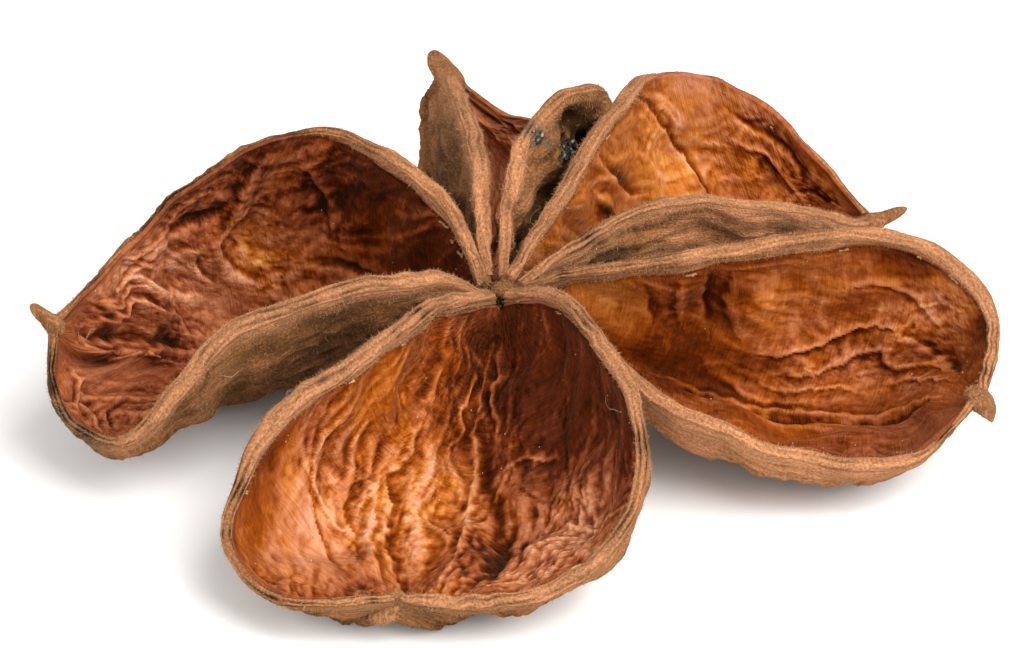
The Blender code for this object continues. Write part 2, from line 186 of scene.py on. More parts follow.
FOLLICLES = [
    Follicle(
        "front",
        left_rim=[(0.7, -4, 22.2), (6, -8, 24.5), (11.5, -20, 26), (16, -31, 23.5), (17, -39, 18),
                  (13, -45.5, 12), (5, -50, 9), (-5, -50.7, 8), (-12, -49.6, 7.5)],
        right_rim=[(-0.7, -4, 22.2), (-7.5, -11.5, 25), (-15.5, -24, 26), (-26, -31, 21.5), (-32, -37, 14.5),
                   (-31.8, -45, 9.5), (-25.5, -50.3, 8), (-18, -50.5, 8), (-13, -49.8, 7.5)],
        keel=[(0, -4.3, 20), (-1.2, -7, 15.5), (-3, -13, 9.5), (-4.5, -19, 5), (-6, -26, 2.8), (-7, -35, 2.3),
              (-8.5, -43, 2.5), (-10.5, -48.5, 4.2), (-12.5, -49.8, 6.2)],
        left_wall=Wall(0.55, 1, 0.12), right_wall=Wall(0.55, 1, 0.12),
        left_edge=[(0, 1, 2), (0.15, 0.8, 2), (0.3, 0.5, 1.9), (0.45, 0.4, 1.6), (0.6, 0.3, 1.4),
                   (0.8, 0.2, 1.7), (1, 0.2, 1.5)],
        right_edge=[(0, 1.2, 1.8), (0.1, 1.8, 2), (0.2, 2, 2), (0.3, 1.5, 1.9), (0.4, 0.8, 2.3),
                    (0.5, 0.4, 2.4), (0.6, 0.1, 1.6), (0.7, -0.3, 1.3), (0.85, -0.4, 1.3), (1, 0.2, 1.6)],
        beak=[(-12, -48, 6.5), (-13.2, -49.5, 6), (-14.6, -50, 5), (-16.3, -49.5, 4.2)],
        beak_radii=(0.7, 1.6, 1.5, 1.2, 0.6), seed=3, tone=0.2, pink=0.3, crumple=1,
        patches=[
            Patch(0.15, -0.55, 9, -0.9, 0.2, -0.5), Patch(0.28, -0.78, 8, -1.2, 0.2, -0.6),
            Patch(0.4, -0.9, 5, -0.7, 0.2, -0.4), Patch(0.08, 0, 5, -0.7),
            Patch(0.3, -0.35, 7, -0.45, 0, -0.1), Patch(0.2, 0.3, 6, -0.3, -0.2),
            Patch(0.46, 0.1, 6, 0.45, -0.1, 0.1), Patch(0.6, 0.1, 7, 0.35, -0.1, 0.2),
            Patch(0.6, 0.4, 7, 0.3, 0.1), Patch(0.72, 0.55, 8, 0.3, 0.4, -0.45),
            Patch(0.58, 0.62, 6, 0.1, 0.1, -0.4), Patch(0.55, -0.5, 8, 0.6, 0.6, 0.6),
            Patch(0.7, -0.38, 7, 0.65, 0.6, 0.6), Patch(0.66, -0.16, 4.2, -0.9, 0.2, 0.3),
            Patch(0.52, 0.88, 4, -0.6, -0.6, -0.9), Patch(0.62, 0.84, 5, -0.6, -0.6, -0.9),
            Patch(0.72, 0.9, 4, -0.2, -0.3, -0.6), Patch(0.3, 0.75, 6, -0.1, -0.5, -0.5),
            Patch(0.45, -0.8, 6, -0.5, 0.2, -0.2), Patch(0.82, 0.35, 6, -0.4, 0.1),
        ],
        folds=[
            Fold(0.75, 0.45, [(0.08, 0), (0.2, 0.01), (0.28, 0), (0.35, -0.02), (0.42, -0.04), (0.5, -0.045),
                (0.6, -0.055), (0.7, -0.05), (0.82, -0.03)]),
            Fold(-1.5, 1.9, [(0.3, -0.05), (0.42, -0.09), (0.5, -0.13), (0.6, -0.17), (0.7, -0.18),
                (0.84, -0.15)]),
            Fold(0.7, 0.42, [(0.15, 0.12), (0.22, 0.1), (0.27, 0.11), (0.31, 0.07), (0.36, 0.1)]),
            Fold(0.7, 0.42, [(0.1, -0.06), (0.18, -0.08), (0.25, -0.09), (0.28, -0.13), (0.32, -0.12)]),
            Fold(0.9, 1.7, [(0.32, 0.17), (0.42, 0.17), (0.5, 0.14), (0.6, 0.11), (0.7, 0.09), (0.82, 0.08)]),
            Fold(-0.8, 0.8, [(0.34, 0.29), (0.42, 0.24), (0.48, 0.26), (0.54, 0.2), (0.62, 0.2), (0.72, 0.17),
                (0.82, 0.17)], 0.5),
            Fold(0.8, 1.1, [(0.4, 0.33), (0.5, 0.3), (0.58, 0.27), (0.7, 0.25), (0.8, 0.24)], -0.4),
            Fold(-0.6, 0.7, [(0.38, 0.4), (0.47, 0.34), (0.55, 0.36), (0.62, 0.31), (0.72, 0.31)], 0.5),
            Fold(0.6, 0.7, [(0.4, 0.74), (0.46, 0.66), (0.51, 0.58), (0.56, 0.5), (0.6, 0.42), (0.63, 0.35),
                (0.65, 0.3)], 0.6),
            Fold(0.45, 0.5, [(0.36, 0.6), (0.41, 0.53), (0.45, 0.48), (0.48, 0.4)], 0.6),
            Fold(-0.45, 0.6, [(0.56, 0.54), (0.61, 0.47), (0.66, 0.43), (0.74, 0.42)], 0.5),
            Fold(0.4, 0.4, [(0.55, -0.36), (0.575, -0.5), (0.575, -0.62), (0.56, -0.78)], 0.5),
            Fold(0.4, 0.4, [(0.41, -0.14), (0.385, -0.22), (0.385, -0.32), (0.4, -0.4)], 0.5),
            Fold(1, 1.6, [(0.12, 0.5), (0.2, 0.4), (0.28, 0.34), (0.36, 0.3)], 0.3),
            Fold(0.9, 1.5, [(0.1, 0.28), (0.16, 0.22), (0.24, 0.17)], 0.3),
        ],
        stains_and_painted_light=[
            Patch(0.95, 0.6, 5, -0.5, 0.5), Patch(0.9, -0.4, 6, 0.2), Patch(0.65, 0.95, 5, -0.4, 0.2),
            Patch(0.8, 0.98, 5, -0.5, 0.2), Patch(0.6, -0.98, 5, -0.2),
        ],
    ),
    Follicle(
        "left",
        left_rim=[(-2.8, -3.6, 22.7), (-9.5, -7, 27.5), (-19, -11, 28.5), (-30, -14, 26.5), (-40, -20, 21.5),
                  (-48.5, -22, 12.5), (-53.8, -18.5, 11.5), (-57, -14, 15), (-57.4, -11, 21)],
        right_rim=[(-2.5, -2.4, 22.9), (-8, 2, 33), (-14.5, 6, 36.5), (-23.5, 12, 37.3), (-33, 12, 34.5),
                   (-43, 6, 29.5), (-50, -1.8, 25.8), (-54.5, -7.5, 23.5), (-56.8, -10, 22.3)],
        keel=[(-2.6, -2.9, 20.3), (-6, -1, 14.5), (-12, 3, 9), (-24, 8, 2.8), (-34, 8.5, 1.7),
              (-42, 6.5, 3.7), (-47.5, 3, 7.5), (-53, -3, 12.5), (-56.8, -9.8, 19.8)],
        left_wall=Wall(0.45, 1, 0.38), right_wall=Wall(0.55, 0.5, 0.05),
        left_edge=[(0, 0.3, 2), (0.15, 0.4, 2.6), (0.35, 0.3, 2.6), (0.55, 0.2, 2.4), (0.7, 0, 1.8),
                   (0.8, -0.3, 1.2), (0.9, -0.4, 1.1), (1, 0.2, 1.2)],
        right_edge=[(0, 1.5, 1.4), (0.1, 2, 1.5), (0.25, 1.9, 1.5), (0.35, 1.2, 1.4), (0.42, 0.2, 1.1),
                    (0.5, -0.5, 0.9), (0.8, -0.5, 0.8), (0.95, -0.3, 1), (1, 0.3, 1.2)],
        beak=[(-56.6, -10, 21), (-58, -10.5, 22.4), (-59.2, -10.5, 23.7), (-60.3, -10.3, 24.8)],
        beak_radii=(0.7, 1.4, 0.95, 0.85, 0.75), seed=11, tone=0.1, pink=0.55, crumple=0.8,
        patches=[
            Patch(0.18, 0.65, 8, -0.8, -0.3, -0.4), Patch(0.3, 0.85, 7, -0.8, -0.2, -0.1),
            Patch(0.13, 0.45, 7, -0.8, -0.3, -0.3), Patch(0.33, 0.6, 6, -0.3, -0.5, -0.3),
            Patch(0.42, 0.8, 6, -0.4, -0.2, 0.2), Patch(0.62, 0.72, 4, -0.45, -0.2, 0.2),
            Patch(0.56, 0.54, 4.5, 0.5, -0.3, 0.2), Patch(0.49, 0.46, 6, 0.15, -0.2, 0.2),
            Patch(0.72, 0.6, 7, 0.25, 0.2, 0.1), Patch(0.62, 0.25, 6, 0.3, 0.2),
            Patch(0.75, -0.4, 7, 0.02, 0.4, 0.3), Patch(0.8, 0.5, 6, 0.4, 0.3, 0.2),
            Patch(0.85, 0.85, 6, 0.3, 0.2), Patch(0.7, 0.95, 5, -0.3, -0.2, 0.3),
            Patch(0.65, 0.4, 6, 0.1, 0.2), Patch(0.84, 0.12, 4, -0.5, 0, 0.3),
            Patch(0.7, 0.14, 5, -0.5, 0, 0.3), Patch(0.8, -0.15, 5, 0.08, 0.4, -0.3),
            Patch(0.85, -0.6, 6, -0.02, 0.45, -0.15), Patch(0.85, 0.3, 6, 0, 0.2, -0.4),
            Patch(0.55, 0.95, 5, -0.4, 0, 0.3), Patch(0.6, 0.12, 5, 0.1, 0.3),
        ],
        folds=[
            Fold(1.2, 1.1, [(0.54, 0.75), (0.59, 0.68), (0.615, 0.58), (0.595, 0.5), (0.56, 0.43),
                (0.52, 0.4)], -0.8),
            Fold(-0.7, 0.8, [(0.66, 0.56), (0.645, 0.48), (0.61, 0.41)], 0.5),
            Fold(0.9, 0.9, [(0.93, 0.5), (0.86, 0.52), (0.8, 0.6), (0.76, 0.7), (0.7, 0.74)], -0.6),
            Fold(0.8, 0.9, [(0.94, 0.36), (0.86, 0.44), (0.8, 0.44), (0.75, 0.5)], -0.6),
            Fold(0.8, 1.3, [(0.5, 0.25), (0.42, 0.2), (0.34, 0.22)], 0.4),
            Fold(0.7, 1, [(0.64, 0.62), (0.68, 0.58), (0.7, 0.5), (0.69, 0.44)], 0.5),
            Fold(0.8, 0.45, [(0.97, -0.03), (0.9, -0.02), (0.8, -0.02), (0.7, 0), (0.62, 0.02)]),
            Fold(1.2, 0.9, [(0.93, -0.35), (0.88, -0.5), (0.86, -0.65), (0.88, -0.8)], 0.5),
            Fold(-1.4, 0.6, [(0.9, -0.3), (0.86, -0.42), (0.82, -0.52), (0.8, -0.62)], 0.5),
            Fold(-1.2, 0.5, [(0.83, -0.4), (0.86, -0.56), (0.83, -0.72)], 0.5),
            Fold(-1, 0.5, [(0.77, -0.34), (0.79, -0.46), (0.77, -0.58)], 0.5),
            Fold(1, 1.3, [(0.52, 0.95), (0.56, 0.86), (0.58, 0.76), (0.6, 0.66)], 0.5),
            Fold(1.6, 1.1, [(0.96, 0.22), (0.87, 0.33), (0.8, 0.36), (0.77, 0.33), (0.74, 0.27), (0.7, 0.27),
                (0.66, 0.19)], -0.6),
            Fold(0.8, 0.6, [(0.97, 0.03), (0.88, 0.03), (0.8, 0.04), (0.7, 0.07), (0.6, 0.09)], -0.5),
            Fold(-1.7, 1, [(0.96, 0.1), (0.88, 0.14), (0.82, 0.13), (0.74, 0.11), (0.66, 0.12)], 0.3),
            Fold(1, 1, [(0.83, 0.62), (0.79, 0.5), (0.75, 0.42), (0.7, 0.36), (0.64, 0.35)], -0.6),
            Fold(-1.2, 1.2, [(0.74, 0.72), (0.68, 0.73), (0.63, 0.76), (0.59, 0.8)], 0.4),
            Fold(0.8, 1, [(0.88, 0.6), (0.8, 0.75), (0.72, 0.84), (0.64, 0.9)], 0.4),
            Fold(-0.8, 0.8, [(0.45, 0.5), (0.38, 0.48), (0.3, 0.44)], 0.4),
            Fold(0.8, 1.2, [(0.46, 0.9), (0.42, 0.78), (0.4, 0.62)], 0.5),
            Fold(0.7, 0.7, [(0.9, -0.3), (0.85, -0.45), (0.8, -0.7)], 0.5),
        ],
        stains_and_painted_light=[
            Patch(0.36, -0.6, 8, -0.35, 0.3, 0.5), Patch(0.24, -0.58, 2.5, -0.7, 1),
            Patch(0.15, -0.75, 6, 0.4), Patch(0.5, -0.9, 6, 0.2), Patch(0.82, -0.97, 7, -0.6, 0.7),
            Patch(0.93, -0.95, 6, -0.6, 0.3), Patch(0.7, 1, 9, -0.7),
        ],
    ),
    Follicle(
        "back_left",
        left_rim=[(-1.2, -0.3, 23), (-1.5, 4, 31), (-2, 11, 34.5), (-3.5, 20, 34.5), (-5, 30, 32.5),
                  (-6.5, 39, 30), (-7.3, 44.5, 28)],
        right_rim=[(0.2, -0.3, 23), (0.5, 3, 33), (3, 9, 39), (9, 16, 41.5), (13.5, 22, 38), (12.5, 29, 30),
                   (5.5, 37, 24.3), (-1, 42, 23.5), (-6, 45, 26.5)],
        keel=[(-0.5, -0.2, 20.3), (-1.2, 3, 14.5), (-2, 8, 9.5), (-3.5, 20, 4.5), (-4.5, 32, 6.5),
              (-5.5, 41, 14.5), (-7, 45, 25)],
        left_wall=Wall(0.55, 2.5, 0.2), right_wall=Wall(0.95, -2.5, 0.2),
        left_edge=[(0, 0.6, 1.6), (0.3, 0.8, 2.2), (0.7, 0.8, 2), (0.9, 1, 1.8), (1, 1, 1.6)],
        right_edge=[(0, 0.5, 1.6), (0.2, 0.6, 1.8), (0.33, 0.3, 1.3), (0.5, 0.2, 1.1), (0.62, 0.1, 1.2),
                    (0.7, -0.5, 1.1), (0.9, -0.8, 1.1), (1, 0.3, 1.2)],
        beak=[(-6.2, 37.5, 29.6), (-7.4, 40.4, 29.9), (-8.7, 43, 30.4), (-9.6, 44.8, 30.9)],
        beak_radii=(1.5, 1.75, 1.6, 1.5, 1.25), seed=23, tone=0.4, pink=0.75, crumple=0.9,
        patches=[
            Patch(0.7, 0.7, 9, 0.5, 0.2), Patch(0.45, 0.8, 9, 0.45, 0.2), Patch(0.4, 0, 7, -0.4),
        ],
        folds=[
            Fold(1, 1, [(0.8, 0.7), (0.7, 0.55), (0.6, 0.45), (0.5, 0.4)], 0.5),
        ],
        # the darkest patches under the curled right rim are painted shadow of the pocket beneath it, with
        # dents; the grey ones are mould; the pale ones are painted light
        stains_and_painted_light=[
            Patch(0.4, 0.93, 2.8, -1.1, 0, 1), Patch(0.45, 0.9, 3.6, -1.2, 0, 2),
            Patch(0.52, 0.88, 3.2, -1.1, 0, 1.4), Patch(0.29, 0.97, 1.8, -0.4, 0.9),
            Patch(0.46, 0.8, 2.4, -0.4, 1.2), Patch(0.3, 0.7, 5, 0.5), Patch(0.5, -0.85, 5, -0.3, 0.4),
            Patch(0.75, -0.9, 6, 0.5), Patch(0.3, -0.8, 6, 0.5),
        ],
    ),
    Follicle(
        "back_right",
        left_rim=[(1.7, -0.7, 22.8), (6, 5, 27), (12, 15, 32), (18.5, 29, 34), (26, 40.5, 29.5),
                  (33.5, 44.3, 25), (42, 41, 18), (47.8, 35.5, 13.5), (50.5, 32.6, 12.2)],
        right_rim=[(2.5, -1.5, 22.8), (9, 3, 25.5), (19.5, 12.5, 26), (28, 17.5, 24), (36.5, 20, 21.5),
                   (44, 23.5, 18), (49, 28, 14), (50.8, 31.4, 12)],
        keel=[(2, -1, 20.3), (5, 3.5, 14), (10, 9, 9), (22, 23, 3.2), (33, 30.5, 1.9), (44, 33.5, 5),
              (50, 32.3, 10.2)],
        left_wall=Wall(0.55, 1, 0.1), right_wall=Wall(0.55, -1, 0.2),
        left_edge=[(0, 0.8, 1.6), (0.3, 0.9, 1.8), (0.42, 0.8, 1.8), (0.5, -0.3, 1.2), (0.6, -0.7, 1),
                   (0.8, -0.8, 1.1), (0.95, -0.4, 1.3), (1, 0.3, 1.3)],
        right_edge=[(0, 0.6, 1.6), (0.3, 0.5, 1.7), (0.6, 0.3, 1.7), (0.9, 0.2, 1.8), (1, 0.3, 1.4)],
        beak=[(49.5, 31.5, 11), (52, 31.8, 11.5), (54.3, 32.3, 12.3), (56.3, 32.8, 13)],
        beak_radii=(0.8, 1.5, 1, 0.85, 0.6), seed=31, tone=0.28, pink=0.12, crumple=0.6,
        patches=[
            Patch(0.8, -0.82, 6, -0.1, 0.1, 0.7), Patch(0.9, -0.72, 5, -0.2, 0, 0.6),
            Patch(0.42, -0.68, 4, -0.5, -0.2), Patch(0.35, -0.6, 4, -0.3, -0.2),
            Patch(0.6, -0.98, 6, 0.1, 0.5, -0.2), Patch(0.75, -1, 5, 0.1, 0.5),
            Patch(0.55, -0.68, 8, 0.4, -0.1), Patch(0.66, -0.5, 3, -0.5),
            Patch(0.5, -0.85, 5, -0.1, -0.2, 0.2),
        ],
        folds=[
            Fold(-0.9, 0.45, [(0.42, -1), (0.48, -0.93), (0.54, -0.84), (0.59, -0.75), (0.63, -0.68),
                (0.65, -0.6), (0.665, -0.5)], 0.5),
            Fold(-1, 1.1, [(0.32, -0.86), (0.37, -0.77), (0.43, -0.66), (0.5, -0.6)], 0.5),
            Fold(0.9, 1, [(0.32, -0.72), (0.36, -0.64), (0.4, -0.56)], 0.5),
            Fold(-0.9, 0.9, [(0.7, -0.9), (0.76, -0.87), (0.82, -0.87), (0.86, -0.8), (0.86, -0.68)], 0.5),
            Fold(0.8, 0.8, [(0.72, -0.78), (0.78, -0.78), (0.83, -0.72), (0.86, -0.6)], 0.5),
            Fold(-0.9, 0.8, [(0.84, -0.62), (0.88, -0.66), (0.92, -0.66), (0.95, -0.72)], 0.5),
            Fold(0.6, 0.8, [(0.52, -0.92), (0.56, -0.86), (0.58, -0.8)], 0.5),
            Fold(0.9, 1.4, [(0.58, -0.45), (0.62, -0.52), (0.66, -0.44)], 0.3),
        ],
        # the dark patches under the near rim are painted shade of its overhang, with dents; the pale ones are
        # painted light on the wall below it
        stains_and_painted_light=[
            Patch(0.72, 0.9, 3, -0.5, 0, 0.6), Patch(0.81, 0.92, 2.6, -1, 0, 1.1),
            Patch(0.56, 0.9, 2.5, -0.5, 0, 0.5), Patch(0.22, 0.85, 5, -0.3, 0.4), Patch(0.62, 0.8, 7, 0.8),
            Patch(0.42, 0.85, 6, 0.5, 0, 0.4),
        ],
    ),
    Follicle(
        "right",
        left_rim=[(3, -2.8, 22.4), (9, -4.5, 25.5), (23, -5, 28), (38, -1.5, 28.5), (50.5, 2, 27),
                  (58.5, 0, 24), (63.2, -5.5, 20), (63, -11.5, 17), (61.8, -15, 15)],
        right_rim=[(3, -3.7, 22), (9.5, -8, 20.5), (15, -14.5, 19), (21.5, -20.5, 17.3), (31, -23.8, 13.7),
                   (44, -23.7, 10.2), (53, -21.8, 10), (58, -18.6, 12.5), (61.2, -16.2, 14.6)],
        keel=[(3, -3.2, 19.8), (6.5, -2.8, 15), (12, -2.3, 11), (18, -1.5, 8), (28, -1.5, 3.7),
              (40, -3.5, 1.8), (51, -6, 4), (57, -9.5, 8), (61.3, -14, 13)],
        left_wall=Wall(0.55, 1, 0.05), right_wall=Wall(0.5, 0.5, 0.42),
        left_edge=[(0, 1, 1.4), (0.1, 2.2, 1.3), (0.3, 2.3, 1.3), (0.5, 2.1, 1.3), (0.6, 1.8, 1.4),
                   (0.7, 0.9, 1.8), (0.8, 0.3, 2), (0.9, 0.1, 1.7), (1, 0.3, 1.5)],
        right_edge=[(0, 0.8, 1.6), (0.2, 1.8, 1.4), (0.45, 1.9, 1.4), (0.6, 0.6, 1.8), (0.75, 0, 1.9),
                    (0.9, -0.8, 1.5), (1, 0.2, 1.3)],
        beak=[(60.5, -14.6, 14.4), (61.9, -16, 13.8), (62.9, -17.2, 12.8), (63.4, -18.1, 11.8)],
        beak_radii=(0.7, 1.5, 1.5, 1.1, 0.4), seed=47, tone=-0.05, pink=0.16, crumple=0.6,
        patches=[
            Patch(0.14, -0.35, 6, -0.3, -0.3, -0.3), Patch(0.3, -0.22, 8, -0.65, -0.2, -0.3),
            Patch(0.42, -0.12, 7, -0.2, -0.2, -0.2), Patch(0.18, -0.6, 7, 0.75, -0.6, -0.3),
            Patch(0.45, -0.6, 6, 0.35), Patch(0.54, -0.78, 6, 0.3), Patch(0.56, -0.27, 6, 0.2, 0.2, 0.2),
            Patch(0.66, -0.33, 6, 0.2, 0.2, 0.3), Patch(0.78, -0.72, 6, 1, 0.3, 0.4),
            Patch(0.79, -0.47, 3.5, -0.5), Patch(0.88, -0.9, 4, -0.6, -0.2), Patch(0.85, 0.4, 7, -0.05, 0.8),
            Patch(0.72, 0.5, 6, -0.2, 0.4), Patch(0.6, 0.15, 5, -0.1, -0.3, -0.5),
            Patch(0.38, -0.72, 3, -0.6, -0.2, -0.2), Patch(0.8, -0.28, 4, 0.3, 0.1, 0.2),
            Patch(0.7, -0.98, 5, -0.6, -0.2, -0.3),
        ],
        folds=[
            Fold(0.8, 1.1, [(0.29, -0.8), (0.3, -0.62), (0.33, -0.42)], 0.4),
            Fold(-0.9, 1.1, [(0.345, -0.82), (0.355, -0.62), (0.38, -0.42)], 0.4),
            Fold(0.8, 1.1, [(0.39, -0.8), (0.39, -0.6), (0.43, -0.42)], 0.4),
            Fold(-0.6, 0.9, [(0.24, -0.72), (0.26, -0.55), (0.28, -0.4)], 0.4),
            Fold(1, 0.7, [(0.49, -0.31), (0.57, -0.36), (0.62, -0.45), (0.7, -0.52), (0.74, -0.5)], 0.6),
            Fold(0.9, 0.7, [(0.53, -0.22), (0.6, -0.24), (0.65, -0.33), (0.71, -0.38), (0.74, -0.31),
                (0.8, -0.35), (0.86, -0.36)], 0.6),
            Fold(0.6, 0.5, [(0.51, -0.16), (0.58, -0.14), (0.64, -0.18), (0.7, -0.17)], 0.6),
            Fold(0.6, 0.5, [(0.74, -0.22), (0.8, -0.24), (0.86, -0.24), (0.91, -0.28)], 0.6),
            Fold(-1.1, 0.9, [(0.72, -0.52), (0.78, -0.48), (0.83, -0.44), (0.9, -0.38)], 0.5),
            Fold(0.6, 0.5, [(0.3, -0.03), (0.43, -0.035), (0.5, -0.03), (0.6, -0.02), (0.7, -0.03),
                (0.8, -0.05), (0.9, -0.07)]),
            Fold(-0.9, 0.5, [(0.36, 0), (0.5, 0.02), (0.6, 0.03), (0.7, 0.02), (0.78, 0), (0.88, -0.03)]),
            Fold(0.7, 0.9, [(0.6, -0.7), (0.68, -0.72), (0.74, -0.68), (0.8, -0.6)], 0.4),
            Fold(0.6, 1.2, [(0.4, -0.2), (0.5, -0.1), (0.62, -0.08)], 0.4),
        ],
        # the pale patches near the right rim are painted light where the husk faces down to the floor
        stains_and_painted_light=[
            Patch(0.42, 0.85, 8, 1.1), Patch(0.55, 0.95, 6, 0.8), Patch(0.66, 0.8, 6, 0.5, 0.1),
            Patch(0.95, -0.98, 5, -0.3), Patch(0.62, -0.97, 10, 0.5), Patch(0.35, -0.97, 9, 0.4),
        ],
    ),
]

# Radius and height of the middle, from its top down to the broken stalk
HUB_PROFILE = [(0.4, 22.5), (1.3, 22.4), (2, 21.9), (2.1, 21), (2.2, 19.5), (2.5, 18), (2.8, 14.5), (2.4, 11),
               (2, 8), (1.3, 7.2)]
HUB_CENTRE = (0.3, -2.0)
HUB_DEEP = 22.8  # millimetres up, where the painted shade of the middle is lightest; it is darker the deeper it lies, painted shade of the hole between the follicles

# Papery scraps of the seed chamber's skin: follicle, share, side, length and width in millimetres
SCRAPS = [
    ("front", 0.72, -0.97, 1.6, 0.7), ("front", 0.745, -0.96, 0.8, 0.5), ("front", 0.13, -0.9, 1.2, 0.3),
    ("front", 0.03, -0.88, 0.6, 0.35), ("front", 0.08, 0.94, 0.8, 0.3), ("front", 0.25, 0.94, 0.7, 0.25),
    ("front", 0.37, 0.97, 0.9, 0.3), ("front", 0.62, 1.0, 0.5, 0.35),
    ("left", 0.15, 0.9, 1.5, 0.5), ("left", 0.1, 0.83, 1.1, 0.4), ("left", 0.125, 0.86, 0.6, 0.3),
    ("right", 0.3, -0.88, 1.6, 0.25), ("right", 0.57, -0.91, 1.4, 0.2), ("right", 0.77, -0.99, 1.0, 0.4),
    ("right", 0.785, -0.98, 0.6, 0.4), ("right", 0.42, 0.94, 0.7, 0.4), ("right", 0.7, -0.96, 0.6, 0.25),
    ("back_right", 0.66, -0.98, 0.5, 0.3), ("back_right", 0.685, -0.97, 0.8, 0.5),
    ("back_right", 0.31, -0.96, 1.1, 0.35), ("back_right", 0.78, -0.93, 0.5, 0.25),
    ("back_left", 0.5, -0.92, 0.5, 0.3), ("back_left", 0.3, -0.9, 0.7, 0.3),
]
# Spots of mould on the husks: follicle, share, side, spread in millimetres, number of lumps
CRUSTS = [
    ("back_left", 0.28, 0.98, 1.3, 60), ("back_left", 0.43, 0.82, 1.8, 90), ("back_left", 0.48, 0.78, 1.7, 80),
    ("left", 0.24, -0.58, 0.8, 16),
]
# Stray hairs: follicle, 0 on the lining or 1 on the husk, share, side, length and curl in millimetres
THREADS = [
    ("front", 0, 0.38, -0.82, 4.5, 1.4), ("left", 1, 0.5, -0.85, 4.0, 1.0), ("left", 0, 0.92, 0.2, 3.0, 0.8),
    ("right", 1, 0.25, 0.8, 3.0, 0.9), ("front", 1, 0.45, 0.97, 2.5, 0.8), ("back_left", 1, 0.3, 0.7, 3.0, 1.0),
]
WALLS = {}  # the walls of each follicle by its name, once they are worked out

CAMERA_PLACE = (1.575, -471.87, 321.59)  # millimetres from the middle of the whorl, like the guides
SENSOR_WIDTH = 36.0  # millimetres
FLOOR_REACH = 3.0  # metres from the middle of the floor to its edges
PAPER = "#F7F6F4"
# The key, fill and front light: name, width and place in metres; each looks at the middle of the floor
LIGHTS = (
    ("key", 0.6, (0.35, -0.25, 0.55)), ("fill", 0.6, (-0.6, -0.35, 0.35)), ("front", 0.8, (0.1, -0.85, 0.3)),
)

# Colours of the lining from its deepest creases, dark with painted shade, to its palest crests, in sRGB
AMBER = ("#210B02", "#501D04", "#87400D", "#B76B2A", "#DA9A58")
ROSY = ("#220C06", "#552413", "#8B4A2B", "#B5714B", "#D59C78")
HUSK_TONES = ("#56504A", "#1E1007", "#E0B38C")  # mouldy grey, black for dark stains and painted deep shade, and the tips of the felt
LINING_SWAY = (0.9 * MM, 1.4 * MM, 0)  # how far the crumpled cells of the lining are bent
BUMP_STRENGTH = 0.9
# Dry matter: dark and pale tone, share of the dark in the first, size of a cloud in millimetres, its
# detail, the noise where the pale tone begins and where it is full, roughness, gloss and sheen
DRY_MATTER = {
    "felt_hair": ("#7E5A34", "#BC8A60", 1.0, 3.0, 4.0, 0.35, 0.65, 0.9, 0.2, 0.3),
    "mould_crust": ("#1F2023", "#8A7A60", 1.0, 0.9, 2.0, 0.5, 0.62, 0.7, 0.25, 0.0),
    "papery_membrane": ("#6B4A2C", "#B98F5E", 0.45, 0.8, 2.0, 0.35, 0.6, 0.9, 0.3, 0.0),
    "pale_plant_dust": ("#6B4A2C", "#D9BE98", 0.45, 0.8, 2.0, 0.35, 0.6, 0.8, 0.3, 0.0),
    "loose_plant_hair": ("#6B4A2C", "#B9A084", 0.45, 0.8, 2.0, 0.35, 0.6, 0.5, 0.3, 0.0),
}
HAIR_LEAN = (0.85, 0.85, 3.1)  # radians that a hair of the velvet leans and turns at most
SHORTEST_HAIR, LONGEST_HAIR = 0.5, 1.3  # in shares of the hair length


# Property groups


class PodShape(PropertyGroup):
    """Sizes of the follicles' walls."""

    wall: FloatProperty(
        name="Wall", description="Thickness of a dried wall", default=1.6 * MM, subtype="DISTANCE"
    )
    fold_height: FloatProperty(
        name="Folds", description="Height of the wall's broad folds", default=0.9 * MM, subtype="DISTANCE"
    )
    wrinkle_height: FloatProperty(
        name="Lining wrinkles", description="Height of the lining's wrinkles", default=0.75 * MM,
        subtype="DISTANCE",
    )
    husk_wrinkles: FloatProperty(
        name="Husk wrinkles", description="Height of the husk's lengthwise wrinkles", default=1.1 * MM,
        subtype="DISTANCE",
    )


class PodPile(PropertyGroup):
    """The short hairs that make the husk velvety."""

    length: FloatProperty(
        name="Hair length", description="Length of a hair of the velvet", default=0.5 * MM, subtype="DISTANCE"
    )
    radius: FloatProperty(
        name="Hair radius", description="Radius at the foot of a hair", default=0.028 * MM, subtype="DISTANCE"
    )
    per_square_mm: FloatProperty(
        name="Hairs per square millimetre", description="How closely the hairs stand", default=7.0
    )
    seed: IntProperty(name="Seed", description="Which scatter of hairs is drawn", default=5)


class PodColours(PropertyGroup):
    """Colours of the husk, in sRGB."""

    husk: FloatVectorProperty(
        name="Husk", description="Velvet of the husk", size=3, default=(0.62, 0.405, 0.235),
        subtype="COLOR_GAMMA",
    )
    # dark velvet, also laid into the grooves and between the tufts as painted shade
    husk_dark: FloatVectorProperty(
        name="Husk, dark", description="Worn and dusty velvet", size=3, default=(0.32, 0.20, 0.10),
        subtype="COLOR_GAMMA",
    )
    # warm, pale velvet, laid on as painted light where the husk faces the floor or lies under a rim
    husk_warm_lit: FloatVectorProperty(
        name="Husk, warm", description="Thin velvet over the wall", size=3, default=(0.76, 0.52, 0.36),
        subtype="COLOR_GAMMA",
    )
    rim: FloatVectorProperty(
        name="Rim", description="Velvet along the rims", size=3, default=(0.70, 0.475, 0.325),
        subtype="COLOR_GAMMA",
    )
    lip: FloatVectorProperty(
        name="Lip", description="Bare skin between lining and rim", size=3, default=(0.58, 0.35, 0.25),
        subtype="COLOR_GAMMA",
    )


